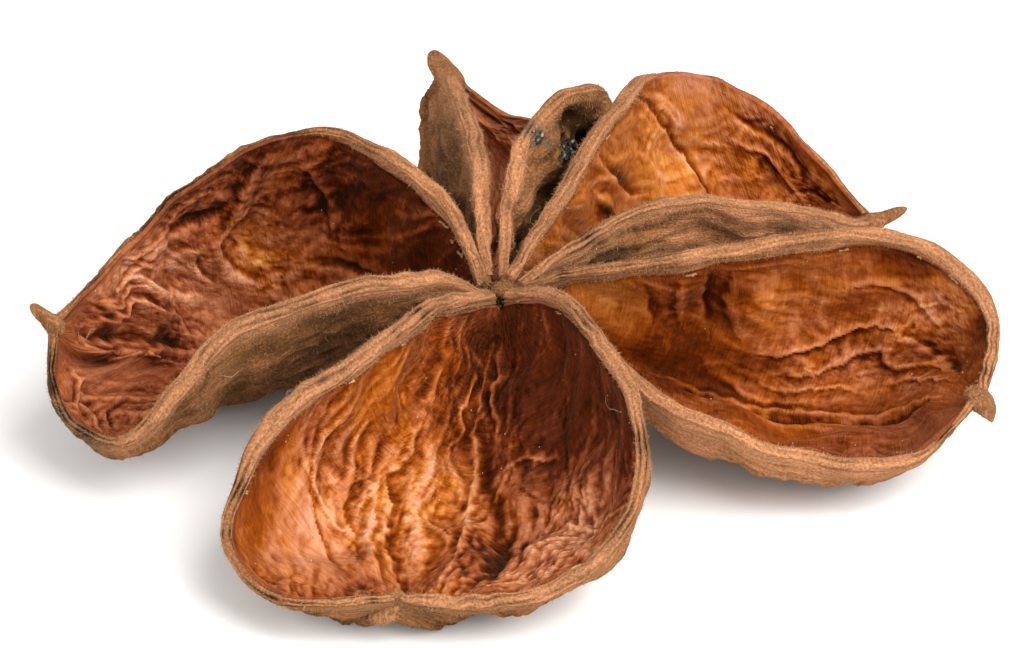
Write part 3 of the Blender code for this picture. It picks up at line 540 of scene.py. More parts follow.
class PodStage(PropertyGroup):
    """The floor, the lights and the camera."""

    lens: FloatProperty(name="Lens", description="Focal length in millimetres", default=150.0)
    pitch: FloatProperty(
        name="Camera pitch", description="How far below level the camera looks", default=radians(33),
        subtype="ANGLE",
    )
    key_power: FloatProperty(name="Key light", description="Power of the large soft light", default=8.5)
    fill_power: FloatProperty(name="Fill light", description="Power of the light opposite", default=2.5)
    front_power: FloatProperty(name="Front light", description="Power of the low front light", default=3.0)
    room: FloatProperty(name="Room light", description="Strength of the even light all round", default=0.5)


class PodSettings(PropertyGroup):
    """All the settings of the pod."""

    shape: PointerProperty(type=PodShape)
    pile: PointerProperty(type=PodPile)
    colours: PointerProperty(type=PodColours)
    stage: PointerProperty(type=PodStage)


# Curves, noise and walls


def unit(vectors):
    """The same directions with length 1."""
    return vectors / np.linalg.norm(vectors, axis=-1, keepdims=True)


def smooth_line(points, count):
    """Points evenly spaced along a natural cubic spline through the guide points."""
    points = np.array(points, float)
    knots = np.concatenate([[0], np.cumsum(np.linalg.norm(np.diff(points, axis=0), axis=1))])
    gaps = np.diff(knots)
    n = len(points)
    system = np.eye(n)
    slopes = np.zeros_like(points)
    for i in range(1, n - 1):
        system[i, i - 1 : i + 2] = gaps[i - 1], 2 * (gaps[i - 1] + gaps[i]), gaps[i]
        slopes[i] = 6 * ((points[i + 1] - points[i]) / gaps[i] - (points[i] - points[i - 1]) / gaps[i - 1])
    bends = np.linalg.solve(system, slopes)
    t = np.linspace(0, knots[-1], LINE_STEPS)
    i = np.clip(np.searchsorted(knots, t, side="right") - 1, 0, n - 2)
    a = ((knots[i + 1] - t) / gaps[i])[:, None]
    b = ((t - knots[i]) / gaps[i])[:, None]
    curve = ((a**3 - a) * bends[i] + (b**3 - b) * bends[i + 1]) * (gaps[i] ** 2)[:, None] / 6
    fine = a * points[i] + b * points[i + 1] + curve
    run = np.concatenate([[0], np.cumsum(np.linalg.norm(np.diff(fine, axis=0), axis=1))])
    even = np.linspace(0, run[-1], count)
    return np.stack([np.interp(even, run, fine[:, k]) for k in range(3)], axis=1)


def noise(x, y, seed):
    """Smooth noise, about -1 to 1, whose cells are 1 wide: millimetres over 9 give patches 9 mm wide."""
    draw = np.random.default_rng(seed)
    turn = draw.uniform(0, 2 * np.pi, NOISE_TABLE)
    order = draw.permutation(NOISE_TABLE)
    x0, y0 = np.floor(x).astype(int), np.floor(y).astype(int)
    fx, fy = x - x0, y - y0

    def corner(dx, dy):
        cell = order[(order[(x0 + dx) % NOISE_TABLE] + y0 + dy) % NOISE_TABLE]
        return np.cos(turn[cell]) * (fx - dx) + np.sin(turn[cell]) * (fy - dy)

    ease_x = fx**3 * (fx * (6 * fx - 15) + 10)
    ease_y = fy**3 * (fy * (6 * fy - 15) + 10)
    low = corner(0, 0) * (1 - ease_x) + corner(1, 0) * ease_x
    high = corner(0, 1) * (1 - ease_x) + corner(1, 1) * ease_x
    return 1.5 * (low * (1 - ease_y) + high * ease_y)


def creases(x, y, seed):
    """Noise folded into sharp crests, 0 in the valleys and 1 on the crests."""
    return (1 - np.abs(noise(x, y, seed)).clip(0, 1)) ** 2


def facets(x, y, seed):
    """Distance to the nearest of scattered points, one to a cell 1 wide: pits with sharp crests between."""
    draw = np.random.default_rng(seed)
    places = draw.uniform(0.05, 0.95, (NOISE_TABLE, 2))
    order = draw.permutation(NOISE_TABLE)
    x0, y0 = np.floor(x).astype(int), np.floor(y).astype(int)
    nearest = np.full(x.shape, 9.0)
    for dx in (-1, 0, 1):
        for dy in (-1, 0, 1):
            cell = order[(order[(x0 + dx) % NOISE_TABLE] + y0 + dy) % NOISE_TABLE]
            gap = np.hypot(x0 + dx + places[cell, 0] - x, y0 + dy + places[cell, 1] - y)
            nearest = np.minimum(nearest, gap)
    return nearest


def fold_waves(seed):
    """Directions, lengths and phases of the waves that make a wall's broad folds."""
    draw = np.random.default_rng(seed)
    heading = draw.uniform(0, np.pi, FOLD_WAVES)
    length = draw.uniform(*FOLD_LENGTHS, FOLD_WAVES)
    phase = draw.uniform(0, 2 * np.pi, FOLD_WAVES)
    return heading, length, phase


def broad_folds(seed, along, across):
    """Height of the broad folds, from about -1 to 1."""
    total = np.zeros_like(along)
    for heading, length, phase in zip(*fold_waves(seed), strict=True):
        way = np.cos(heading) * along + np.sin(heading) * across
        sway = FOLD_SWAY * np.sin(along / FOLD_SWAY_LENGTH + phase)
        total += np.sin(2 * np.pi * way / length + phase + sway)
    return total / np.sqrt(FOLD_WAVES)


def wavering(line, seed):
    """A rim's line with the small unevenness of a dried edge; its ends stay where they are."""
    run = np.linspace(0, RIM_LENGTH, len(line))
    calm = np.clip(np.minimum(run, RIM_LENGTH - run) / RIM_CALM, 0, 1)
    still = 0 * run
    sway = [noise(run / 7, still, seed + k) + 0.2 * noise(run / 2.6, still, seed + k + 3) for k in range(3)]
    return line + RIM_WAVER * calm[:, None] * np.stack(sway, axis=1)


def half_section(keel, rim, out, up, wall, swell, turns):
    """Points from the keel to a rim: a cubic that leaves the keel sideways and reaches the rim upwards."""
    width = np.sum((rim - keel) * out, axis=1, keepdims=True)
    height = np.sum((rim - keel) * up, axis=1, keepdims=True)
    bulge = wall.bulge * swell
    first = keel + out * (wall.belly * width + bulge) + up * (wall.lift * height)
    second = rim + out * bulge - up * RIM_APPROACH * height
    t = turns[None, :, None]
    keel, first, second, rim = (p[:, None, :] for p in (keel, first, second, rim))
    return (1 - t) ** 3 * keel + 3 * (1 - t) ** 2 * t * first + 3 * (1 - t) * t**2 * second + t**3 * rim


def lining_grid(follicle):
    """A grid of points over the lining, from the left rim down to the keel and up again."""
    left = wavering(smooth_line(follicle.left_rim, STATIONS), follicle.seed + 700)
    right = wavering(smooth_line(follicle.right_rim, STATIONS), follicle.seed + 710)
    keel = smooth_line(follicle.keel, STATIONS)
    up = unit((left + right) / 2 - keel)
    out = left - right
    out = unit(out - up * np.sum(out * up, axis=1, keepdims=True))
    share = np.linspace(0, 1, STATIONS)[:, None]
    swell = np.sqrt(np.sin(np.pi * np.clip(share, 0, 1)).clip(0))
    turns = np.linspace(0, 1, HALF_SPLIT + 1)
    left_half = half_section(keel, left, out, up, follicle.left_wall, swell, turns)
    right_half = half_section(keel, right, -out, up, follicle.right_wall, swell, turns)
    return np.concatenate([left_half[:, ::-1], right_half[:, 1:]], axis=1)


def normals_of(grid):
    """Normals of a lining's grid that point out of the follicle, through its wall."""
    return unit(np.cross(np.gradient(grid, axis=0), np.gradient(grid, axis=1)))


def wall_places(grid):
    """How far each grid point lies along and across the wall, in millimetres."""
    along = np.linalg.norm(np.diff(grid, axis=0), axis=2)
    along = np.concatenate([np.zeros((1, grid.shape[1])), np.cumsum(along, axis=0)])
    across = np.linalg.norm(np.diff(grid, axis=1), axis=2)
    across = np.concatenate([np.zeros((grid.shape[0], 1)), np.cumsum(across, axis=1)], axis=1)
    middle = grid.shape[1] // 2
    return along, across - across[:, middle : middle + 1]


def blurred(values, rounds):
    """The values with each one evened out over its neighbours."""
    for _ in range(rounds):
        padded = np.pad(values, 1, mode="edge")
        around = padded[:-2, 1:-1] + padded[2:, 1:-1] + padded[1:-1, :-2] + padded[1:-1, 2:]
        values = (around + 4 * values) / 8
    return values


def stroke_height(fold, along, across):
    """Height of one drawn fold at every grid point."""
    rows, columns = along.shape
    path = np.array(fold.places, float)
    row = np.clip(path[:, 0] * (rows - 1), 0, rows - 1).astype(int)
    column = np.clip((path[:, 1] + 1) / 2 * (columns - 1), 0, columns - 1).astype(int)
    points = np.stack([along[row, column], across[row, column], 0 * row], axis=1)
    line = smooth_line(points, 24)[:, :2]
    here = np.stack([along, across], axis=2)
    here = here + 0.5 * np.stack([noise(along / 2, across / 2, seed) for seed in (900, 901)], axis=2)
    best = np.full(along.shape, 1e9)
    offset = np.zeros_like(best)
    run = np.zeros_like(best)
    for k in range(len(line) - 1):
        start, step = line[k], line[k + 1] - line[k]
        t = np.clip(((here - start) @ step) / (step @ step), 0, 1)
        gap = here - (start + t[..., None] * step)
        distance = np.linalg.norm(gap, axis=2)
        closer = distance < best
        turn = np.sign(gap[..., 0] * step[1] - gap[..., 1] * step[0])
        best = np.where(closer, distance, best)
        offset = np.where(closer, distance * turn, offset)
        run = np.where(closer, (k + t) / (len(line) - 1), run)
    width = fold.width * (1 + 1.35 * fold.lean * np.tanh(2.5 * offset / fold.width)).clip(0.2)
    ends = np.sin(np.pi * run.clip(0.02, 0.98)) ** 0.5
    return fold.height * ends / (1 + (best / width) ** 2) ** 2


def patch_weight(patch, along, across):
    """How strongly a patch counts at every grid point, 0 to 1, with an uneven border."""
    rows, columns = along.shape
    i, j = round(patch.share * (rows - 1)), round((patch.side + 1) / 2 * (columns - 1))
    ragged = 1 + 0.45 * noise(along / 2.5, across / 2.5, 950) + 0.25 * noise(along / 0.9, across / 0.9, 951)
    distance = np.hypot(along - along[i, j], across - across[i, j])
    return np.exp(-((distance * ragged / patch.radius) ** 2))


def wrinkles(seed, along, across, amount):
    """Height of the lining's wrinkles towards the inside, in shares of the wrinkle height."""
    a = along + 2.6 * noise(along / 9, across / 6, seed + 1)
    b = across + 2.2 * noise(along / 8, across / 6, seed + 2)
    ribs = creases(a / 13, b / 4.4, seed + 3)
    shelf = creases(a / 6 + 0.4 * ribs, b / 2.3 + 0.6 * ribs, seed + 4)
    dents = facets(a / 3.2 + 0.3 * shelf, b / 1.9 + 0.3 * shelf, seed + 5)
    pillows = facets(a / 1.5 + 0.5 * dents, b / 1.0 + 0.5 * dents, seed + 6)
    calm = (0.75 + 0.5 * noise(along / 12, across / 9, seed + 7)).clip(0.2)
    return calm * (0.7 * ribs - amount * (0.4 * shelf + 0.6 * dents) - 0.3 * amount**2 * pillows)


def rim_profile(places):
    """How far the husk comes over the lining, and the thickness, at every station of a rim."""
    places = np.array(places, float)
    share = np.linspace(0, 1, STATIONS)
    both = [np.interp(share, places[:, 0], places[:, k]) for k in (1, 2)]
    kernel = np.ones(15) / 15
    return [np.convolve(np.pad(line, 7, mode="edge"), kernel, mode="valid")[:, None] for line in both]


def total(weights, key):
    """Sum of one value of all the patches, each as strong as it counts at every grid point."""
    return sum(getattr(patch, key) * weight for patch, weight in weights)


def husk_ridges(seed, along, across, side):
    """Height of the husk's lengthwise wrinkles, 0 to 1.45, and of its small lumps in millimetres."""
    lane = side * LANES + 1.5 * noise(along / 9, across / 6, seed + 499)
    ridge = creases(along / 26, lane / 3.0, seed + 500) + 0.45 * creases(along / 11, lane / 1.4, seed + 501)
    return ridge, noise(along / 1.4, across / 0.9, seed + 502) * LUMP_HEIGHT


def lining_relief(follicle, along, across, amount, wrinkle_height):
    """Height of the lining's wrinkles and drawn folds in millimetres, and where its veins run."""
    relief = wrinkles(follicle.seed * 10, along, across, amount.clip(0.1)) * wrinkle_height
    relief = relief * (0.35 + 0.65 * amount.clip(0, 1.4))
    relief = relief - relief.mean()
    veins = 0 * relief
    for drawn in follicle.folds:
        stroke = stroke_height(drawn, along, across)
        relief = relief + stroke
        if drawn.height > 0 and drawn.width < VEIN_WIDTH:
            veins = np.maximum(veins, stroke / drawn.height)
    return relief, veins


def lining_looks(follicle, weights, along, across, relief, veins, past_lip):
    """How pale and how pink the lining is; painted shade makes it darker and less pink in hollows of every
    width, and painted highlight makes it paler on its crests and veins.
    """
    # painted shade in hollows, deepest in the narrowest creases, and painted highlight on the crests
    hollow_shade = (blurred(relief, MIDDLING) - relief) / 0.22 + 0.5 * (blurred(relief, WIDE) - relief) / 0.5
    hollow_shade = hollow_shade.clip(-0.9, 1.5) + 0.5 * ((blurred(relief, NARROW) - relief) / 0.05).clip(-0.2, 1)
    tone = follicle.tone + total(weights, "tone").clip(-0.85, 0.6)
    # painted highlight along the veins, and painted shade in the hollows
    tone = tone + 0.35 * veins + 0.22 * noise(along / 5, across / 4, follicle.seed + 504) - 0.34 * hollow_shade
    # darker in a band just inside each rim: partly a dark edge line of the lining, partly painted shade under
    # the rim
    tone = tone - 0.45 * np.exp(-((past_lip.clip(0) / 0.9) ** 2))
    pink = follicle.pink + total(weights, "pink")
    return tone, pink + 0.35 * noise(along / 4, across / 3, follicle.seed + 505) - 0.25 * hollow_shade


def husk_looks(follicle, spots, along, across, ridge):
    """How dark the husk is (below 0: its stains, and painted shade under curled rims and in the grooves of its
    wrinkles) or light (painted light where it faces the floor, a little on its crests), and how grey.
    """
    stain_and_painted_light = 0.25 * noise(along / 6, across / 4, follicle.seed + 507)
    stain_and_painted_light = (stain_and_painted_light + total(spots, "tone")).clip(-1, 1)
    # painted shade in the grooves of the husk's lengthwise wrinkles and a little painted light on their crests,
    # stronger in some places than in others
    groove_shading = (0.6 + noise(along / 7, across / 4, follicle.seed + 508)).clip(0, 1)
    stain_and_painted_light = stain_and_painted_light + 0.9 * groove_shading * (ridge - 0.75).clip(-0.6, 0.25)
    return stain_and_painted_light, total(spots, "pink").clip(0, 1) + 0 * stain_and_painted_light


def follicle_walls(follicle, shape):
    """Grids of the lining and of the husk, with what the materials read at each point of them."""
    base = lining_grid(follicle)
    normal = normals_of(base)
    along, across = wall_places(base)
    share = np.linspace(0, 1, STATIONS)[:, None]
    side = np.linspace(-1, 1, 2 * HALF_SPLIT + 1)[None, :]
    edge = np.abs(side)
    middle = np.clip(np.minimum(share, 1 - share) / END_SHARE, 0, 1)
    middle = middle * middle * (3 - 2 * middle)
    over_left, thick_left = rim_profile(follicle.left_edge)
    over_right, thick_right = rim_profile(follicle.right_edge)
    from_rim = np.where(side < 0, across - across[:, :1], across[:, -1:] - across)
    over = np.where(side < 0, over_left, over_right)
    at_rim = np.where(side < 0, thick_left, thick_right)
    near_rim = np.exp(-((from_rim / RIM_REACH) ** 2))

    # the wall's thickness, its broad folds and the ridges of the husk
    thick = shape.wall / MM * (WALL_AT_ENDS + (1 - WALL_AT_ENDS) * middle)
    thick = thick + (at_rim * (0.75 + 0.25 * middle) - thick) * near_rim
    fold = broad_folds(follicle.seed, along, across) * shape.fold_height / MM * (middle * (1 - edge**4))
    seam = np.exp(-((edge / SEAM_SHARE) ** 2)) * middle
    ridge, lump = husk_ridges(follicle.seed, along, across, side)
    husk_relief = shape.husk_wrinkles / MM * (ridge - 0.7) * (1 - 0.5 * near_rim) + lump
    husk_relief = husk_relief * (0.3 + 0.7 * middle)

    # the lining's wrinkles, calmer towards the lips, which have strands of their own
    weights = [(patch, patch_weight(patch, along, across)) for patch in follicle.patches]
    amount = follicle.crumple + total(weights, "crumple")
    relief, veins = lining_relief(follicle, along, across, amount, shape.wrinkle_height / MM)
    calm_edge = np.clip((from_rim - over) / CALM_EDGE, 0, 1) * (0.25 + 0.75 * middle)
    band = np.clip((over - from_rim) / BAND_EDGE + 0.5, 0, 1)
    sway = 2.5 * noise(along / 6, across / 3, follicle.seed + 503)
    strands = np.sin(2 * np.pi * from_rim / STRAND_WIDTH + sway)
    relief = relief * calm_edge + band * (2 * STRAND_HEIGHT + STRAND_HEIGHT * strands + 0.5 * lump)

    # the husk follows the widest of them and the dents, and no groove comes through it
    bend = BEND * blurred(relief * (1 - band), WIDE // 2)
    spots = [(patch, patch_weight(patch, along, across)) for patch in follicle.stains_and_painted_light]
    spots = [(patch, weight * (1 - near_rim) if patch.crumple else weight) for patch, weight in spots]
    dent = total(spots, "crumple")
    outside = thick + OUTER_FOLDS * fold - bend + KEEL_RIB * seam + husk_relief - DENT_OUTSIDE * dent
    room = (outside - THINNEST - fold + MIDRIB * seam).clip(0)
    relief = (relief - room + np.hypot(relief + room, GROOVE_SOFTNESS)) / 2
    base = base - normal * ((1 - DENT_OUTSIDE) * dent)[..., None]
    rise = fold - MIDRIB * seam - relief
    lining = base + normal * rise[..., None]
    outside = np.maximum(outside, THINNEST + (1 - band) * rise.clip(0))
    husk = base + normal * outside[..., None]

    tone, pink = lining_looks(follicle, weights, along, across, relief, veins, from_rim - over)
    stain_and_painted_light, grey = husk_looks(follicle, spots, along, across, ridge)
    lip_width = 0.3 + 0.12 * noise(along / 3, 0 * along, follicle.seed + 506)
    lip = 0.9 * np.exp(-(((from_rim - over - lip_width) / lip_width) ** 2))
    lip = lip * (0.3 + 0.7 * (over + 0.4).clip(0, 1))
    pale = np.clip((at_rim - 0.9) / 0.8, 0, 1)
    rough = (amount - 0.25).clip(0.1, 1.3) + 0 * tone
    looks = {"tone": tone, "pink": pink, "lip": lip, "rough": rough, "stain_and_painted_light": stain_and_painted_light, "grey": grey}
    return lining, husk, along, across, {**looks, "band": band, "over": over, "pale": pale}


# Meshes and materials


def colour(text):
    """Linear colour of an sRGB hex value."""
    parts = np.array([int(text[i : i + 2], 16) / 255 for i in (1, 3, 5)])
    linear = np.where(parts <= 0.04045, parts / 12.92, ((parts + 0.055) / 1.055) ** 2.4)
    return (*linear.tolist(), 1.0)


def hex_of(values):
    """The sRGB hex value of a colour property."""
    return "#" + "".join(f"{round(v * 255):02X}" for v in values)


def fill(tree, node, inputs):
    """Gives a node's sockets their values or links."""
    for key, value in inputs.items():
        if isinstance(value, bpy.types.NodeSocket):
            tree.links.new(value, node.inputs[key])
        else:
            node.inputs[key].default_value = value


def add(tree, kind, inputs=None, **settings):
    """Adds a node to a tree with its settings and its values or links."""
    made = tree.nodes.new(kind)
    for key, value in settings.items():
        setattr(made, key, value)
    fill(tree, made, inputs or {})
    return made


def maths(tree, operation, *values):
    """What a sum of values or links comes to."""
    return add(tree, "ShaderNodeMath", dict(enumerate(values)), operation=operation).outputs[0]


def weighed(tree, value, weight, plus):
    """A value times a weight, with another value added."""
    return maths(tree, "MULTIPLY_ADD", value, weight, plus)


def blend(tree, factor, low, high):
    """A mix of two colours or links by a factor; returns the colour that comes out."""
    return add(tree, "ShaderNodeMix", {0: factor, 6: low, 7: high}, data_type="RGBA").outputs[2]


def ramp(tree, value, low, high):
    """The value stretched so that low becomes 0 and high becomes 1."""
    inputs = {"Value": value, "From Min": low, "From Max": high}
    return add(tree, "ShaderNodeMapRange", inputs, clamp=True).outputs[0]


def new_material(name):
    """An empty material with its tree and its shader."""
    made = bpy.data.materials.new(name)
    made.use_nodes = True
    return made, made.node_tree, made.node_tree.nodes["Principled BSDF"]


def attribute(tree, name):
    """The value that a mesh holds under a name."""
    return add(tree, "ShaderNodeAttribute", attribute_name=name).outputs["Fac"]


def wall_place(tree):
    """The place on a follicle's wall: metres along it and lanes across it."""
    return add(tree, "ShaderNodeUVMap", uv_map="wall").outputs[0]


def patches(tree, coordinates, size_mm, detail=4.0, stretch=(1, 1, 1), rough=0.55, field="Fac"):
    """Noise whose patches are as wide as the size, on coordinates in metres."""
    scale = [s / (size_mm * MM) for s in stretch]
    mapped = add(tree, "ShaderNodeMapping", {"Vector": coordinates, "Scale": scale})
    inputs = {"Vector": mapped.outputs[0], "Scale": 1.0, "Detail": detail, "Roughness": rough}
    return add(tree, "ShaderNodeTexNoise", inputs).outputs[field]


def cloud(tree, size_mm, detail):
    """Noise all through an object, whose patches are as wide as the size."""
    return patches(tree, add(tree, "ShaderNodeTexCoord").outputs["Object"], size_mm, detail)


def crumple_cells(tree, coordinates, size_mm):
    """Distance to the middle of the nearest of scattered cells: crests with sharp creases between them."""
    inputs = {"Vector": coordinates, "Scale": 1 / (size_mm * MM), "Randomness": 1.0}
    return add(tree, "ShaderNodeTexVoronoi", inputs, feature="F1", voronoi_dimensions="2D").outputs[0]


def raised(tree, height, millimetres):
    """Normals of a surface whose relief goes up and down by so many millimetres."""
    inputs = {"Strength": BUMP_STRENGTH, "Distance": millimetres * MM, "Height": height}
    return add(tree, "ShaderNodeBump", inputs).outputs[0]


def tone_scale(tree, factor, stops):
    """A colour ramp from dark to pale, its stops spaced evenly."""
    made = add(tree, "ShaderNodeValToRGB", {0: factor})
    marks = made.color_ramp.elements
    while len(marks) < len(stops):
        marks.new(0.5)
    for k, (mark, stop) in enumerate(zip(marks, stops, strict=True)):
        mark.position = k / (len(stops) - 1)
        mark.color = colour(stop)
    return made.outputs[0]


def silky_lining(name, lip):
    """Dried endocarp, fibrous like raw silk: amber where it is smooth, pinker on the crumpled crests, partly
    its own colour and partly painted sheen; painted shade darkens the creases between its crumpled cells.
    """
    made, tree, shader = new_material(name)
    wall = wall_place(tree)
    mottle = patches(tree, wall, 1.6, stretch=(1, 1.4, 1))
    fibre = patches(tree, wall, 0.3, 3.0, (1, 0.08, 1), 0.6)
    strand = patches(tree, wall, 0.8, 4.0, (1, 0.12, 1), 0.7)
    warp = patches(tree, wall, 2.5, 3.0, field="Color")
    sway = add(tree, "ShaderNodeVectorMath", {0: warp, 1: LINING_SWAY}, operation="MULTIPLY").outputs[0]
    bent = add(tree, "ShaderNodeVectorMath", {0: wall, 1: sway}, operation="ADD").outputs[0]
    cells = weighed(tree, crumple_cells(tree, bent, 0.5), 0.45, crumple_cells(tree, bent, 1.1))
    crumple = maths(tree, "MULTIPLY", cells, attribute(tree, "rough"))

    level = weighed(tree, attribute(tree, "tone"), 0.5, 0.09)
    # the crumpled cells darken towards their creases: painted shade that follows the bumps
    for value, weight in ((mottle, 0.35), (strand, 0.3), (fibre, 0.25), (crumple, -0.28)):
        level = weighed(tree, value, weight, level)
    blush = weighed(tree, mottle, 0.6, attribute(tree, "pink"))
    amber, rosy = (tone_scale(tree, level, stops) for stops in (AMBER, ROSY))
    tone = blend(tree, ramp(tree, blush, 0.3, 1.0), amber, rosy)
    tone = blend(tree, ramp(tree, attribute(tree, "lip"), 0.25, 0.8), tone, colour(lip))
    fill(tree, shader, {
        "Base Color": tone,
        "Roughness": ramp(tree, strand, 0.9, -0.9),
        "IOR": 1.4,
        "Specular IOR Level": 0.2,
        "Specular Tint": colour("#FF9A50"),
        "Sheen Weight": 0.08,
        "Sheen Roughness": 0.4,
        "Sheen Tint": colour("#FFB98C"),
        "Normal": raised(tree, weighed(tree, crumple, -0.9, fibre), 0.3),
    })
    return made


def velvet_husk(name, husk, dark, rim, warm):
    """Corky husk under short felted hairs: dull, speckled and unevenly dusty, lighter along the rims; painted
    shade darkens its grooves, the gaps between its tufts, the pockets under curled rims and the deep middle,
    and painted light makes parts of it warmer and paler.
    """
    made, tree, shader = new_material(name)
    husk, dark, rim, warm, grey, black, tip = map(colour, (husk, dark, rim, warm, *HUSK_TONES))
    wall = wall_place(tree)
    groove = patches(tree, wall, 0.8, 2.0, (0.12, 1, 1))
    tuft = patches(tree, wall, 0.32, 3.0, (0.8, 1, 1), 0.7)
    stain_and_painted_light = attribute(tree, "stain_and_painted_light")
    tone = blend(tree, ramp(tree, cloud(tree, 4.0, 5.0), 0.38, 0.62), dark, husk)
    tone = blend(tree, ramp(tree, attribute(tree, "rim"), 0.1, 0.9), tone, rim)
    # warmer and paler where the value is high: partly its uneven tone, partly painted light
    tone = blend(tree, ramp(tree, stain_and_painted_light, 0.1, 0.9), tone, warm)
    tone = blend(tree, ramp(tree, attribute(tree, "grey"), 0.1, 1.2), tone, grey)
    # painted shade in the grooves and between the tufts, where the bump is low
    tone = blend(tree, ramp(tree, groove, 0.34, 0.6), blend(tree, 0.5, tone, dark), tone)
    tone = blend(tree, ramp(tree, tuft, 0.36, 0.55), blend(tree, 0.55, tone, dark), tone)
    tone = blend(tree, ramp(tree, tuft, 0.52, 0.75), tone, blend(tree, 0.3, tone, tip))
    # black where the value is low: dark stains, and painted shade in pockets, between strands and deep in the
    # middle
    tone = blend(tree, ramp(tree, stain_and_painted_light, -0.1, -0.9), tone, black)
    fill(tree, shader, {
        "Base Color": tone,
        "Roughness": 0.95,
        "Specular IOR Level": 0.12,
        "Specular Tint": colour("#E8B070"),
        "Sheen Weight": 0.08,
        "Sheen Roughness": 0.5,
        "Sheen Tint": colour("#D8A468"),
        "Normal": raised(tree, weighed(tree, groove, 1.2, tuft), 0.35),
    })
    return made


def dry_matter(name):
    """Dry plant matter by its name, its colour drifting from a dark tone to a pale one in clouds."""
    dark, pale, share, size_mm, detail, low, high, roughness, specular, sheen = DRY_MATTER[name]
    made, tree, shader = new_material(name)
    drift = ramp(tree, cloud(tree, size_mm, detail), low, high)
    fill(tree, shader, {
        "Base Color": blend(tree, drift, blend(tree, share, colour(pale), colour(dark)), colour(pale)),
        "Roughness": roughness,
        "Specular IOR Level": specular,
        "Sheen Weight": sheen,
    })
    return made


def placed(name, data):
    """An object of the data, put into the scene."""
    made = bpy.data.objects.new(name, data)
    bpy.context.scene.collection.objects.link(made)
    return made


def mesh_piece(name, points, faces, materials=(), places=None, values=None, kinds=None):
    """An object from points in millimetres from the middle of the whorl."""
    x, y = WHORL_MIDDLE
    points = (np.asarray(points, float) + (x, y, 0)) * MM
    mesh = bpy.data.meshes.new(name)
    mesh.from_pydata(points.tolist(), [], faces)
    for material in materials:
        mesh.materials.append(material)
    if kinds is not None:
        mesh.polygons.foreach_set("material_index", np.asarray(kinds, np.int32))
    for key, field_values in (values or {}).items():
        layer = mesh.attributes.new(key, "FLOAT", "POINT")
        layer.data.foreach_set("value", np.asarray(field_values, np.float32))
    if places is not None:
        corners = np.empty(len(mesh.loops), np.int32)
        mesh.loops.foreach_get("vertex_index", corners)
        layer = mesh.uv_layers.new(name="wall")
        layer.data.foreach_set("uv", np.asarray(places, np.float32)[corners].ravel())
    mesh.shade_smooth()
    return placed(name, mesh)


def face_outwards(piece):
    """Turns a closed piece's faces outwards."""
    shape = bmesh.new()
    shape.from_mesh(piece.data)
    bmesh.ops.recalc_face_normals(shape, faces=shape.faces)
    shape.to_mesh(piece.data)
    shape.free()


def declare(piece):
    """Says that a piece rides on the pod's only body and stands for its solid."""
    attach(piece, BODY)
    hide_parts(NODE)


def circle(sides):
    """Evenly spaced angles, and their cosines and sines, each as a column."""
    angle = np.linspace(0, 2 * np.pi, sides, endpoint=False)
    return angle, np.cos(angle)[:, None], np.sin(angle)[:, None]


def ring_faces(first, rings, sides):
    """Quads between rings of points, and a fan over each end."""
    faces = []
    for k in range(rings - 1):
        for j in range(sides):
            a, b = first + k * sides + j, first + k * sides + (j + 1) % sides
            faces.append((a, b, b + sides, a + sides))
    top, bottom = first + rings * sides, first + rings * sides + 1
    last = first + (rings - 1) * sides
    for j in range(sides):
        faces.append((top, first + (j + 1) % sides, first + j))
        faces.append((bottom, last + j, last + (j + 1) % sides))
    return faces


def beak_points(follicle, rings=26, sides=28):
    """Points of a beak: rings that shrink along its bent line, ribbed and uneven like the husk."""
    line = smooth_line(follicle.beak, rings)
    radii = np.array(follicle.beak_radii)
    radii = np.interp(np.linspace(0, 1, rings), np.linspace(0, 1, len(radii)), radii)
    radii = radii * np.sqrt(1 - np.linspace(0, 1, rings) ** 8 * 0.9)
    way = unit(np.gradient(line, axis=0))
    across = unit(np.cross(way, (0, 0, 1)))
    top = np.cross(across, way)
    angle, cos, sin = circle(sides)
    points = []
    for k in range(rings):
        lumps = noise(angle * 2, angle * 0 + k / 4, follicle.seed)
        ribs = 1 + 0.07 * np.sin(5 * angle + 0.05 * k) + 0.06 * lumps
        points.append(line[k] + radii[k] * ribs[:, None] * (cos * across[k] + sin * top[k]))
    ends = [line[0], line[-1] + way[-1] * radii[-1] * 0.3]
    return np.concatenate([*points, ends]), ring_faces(0, rings, sides)


def lip_rows(inner, outer, beyond, follicle, phase):
    """Rows of points round a rim from its inner to its outer edge, and the height of its strands at each."""
    turns = np.linspace(0, np.pi, LIP_SPLIT + 1)[1:-1]
    centre, half = (inner + outer) / 2, (inner - outer) / 2
    thick = np.linalg.norm(half, axis=1, keepdims=True)
    run = np.linspace(0, LIP_LENGTH, len(inner))
    rows, heights = [], []
    for t in turns:
        sway = noise(run / 7, 0 * run + 0.3 * t, follicle.seed + phase)
        strands = LIP_STRANDS * np.sin(2 * np.pi * (t / 1.05 + 0.45 * sway))
        strands = strands + 0.05 * noise(run / 1.4, 0 * run + t, phase)
        swell = (1 + strands[:, None]) * thick
        rows.append(centre + half * np.cos(t) + unit(beyond) * 0.5 * swell * np.sin(t))
        heights.append(strands)
    return np.stack(rows, axis=1), np.stack(heights, axis=1)


def shell_faces(rows, columns):
    """Quads between the closed cross-sections of a shell, and a face over each of its ends."""
    row, column = np.meshgrid(np.arange(rows - 1), np.arange(columns), indexing="ij")
    a, b = row * columns + column, row * columns + (column + 1) % columns
    quads = np.stack([a, a + columns, b + columns, b], axis=2).reshape(-1, 4)
    faces = [tuple(quad) for quad in quads.tolist()]
    return [*faces, tuple(range(columns)), tuple(range((rows - 1) * columns, rows * columns))[::-1]]


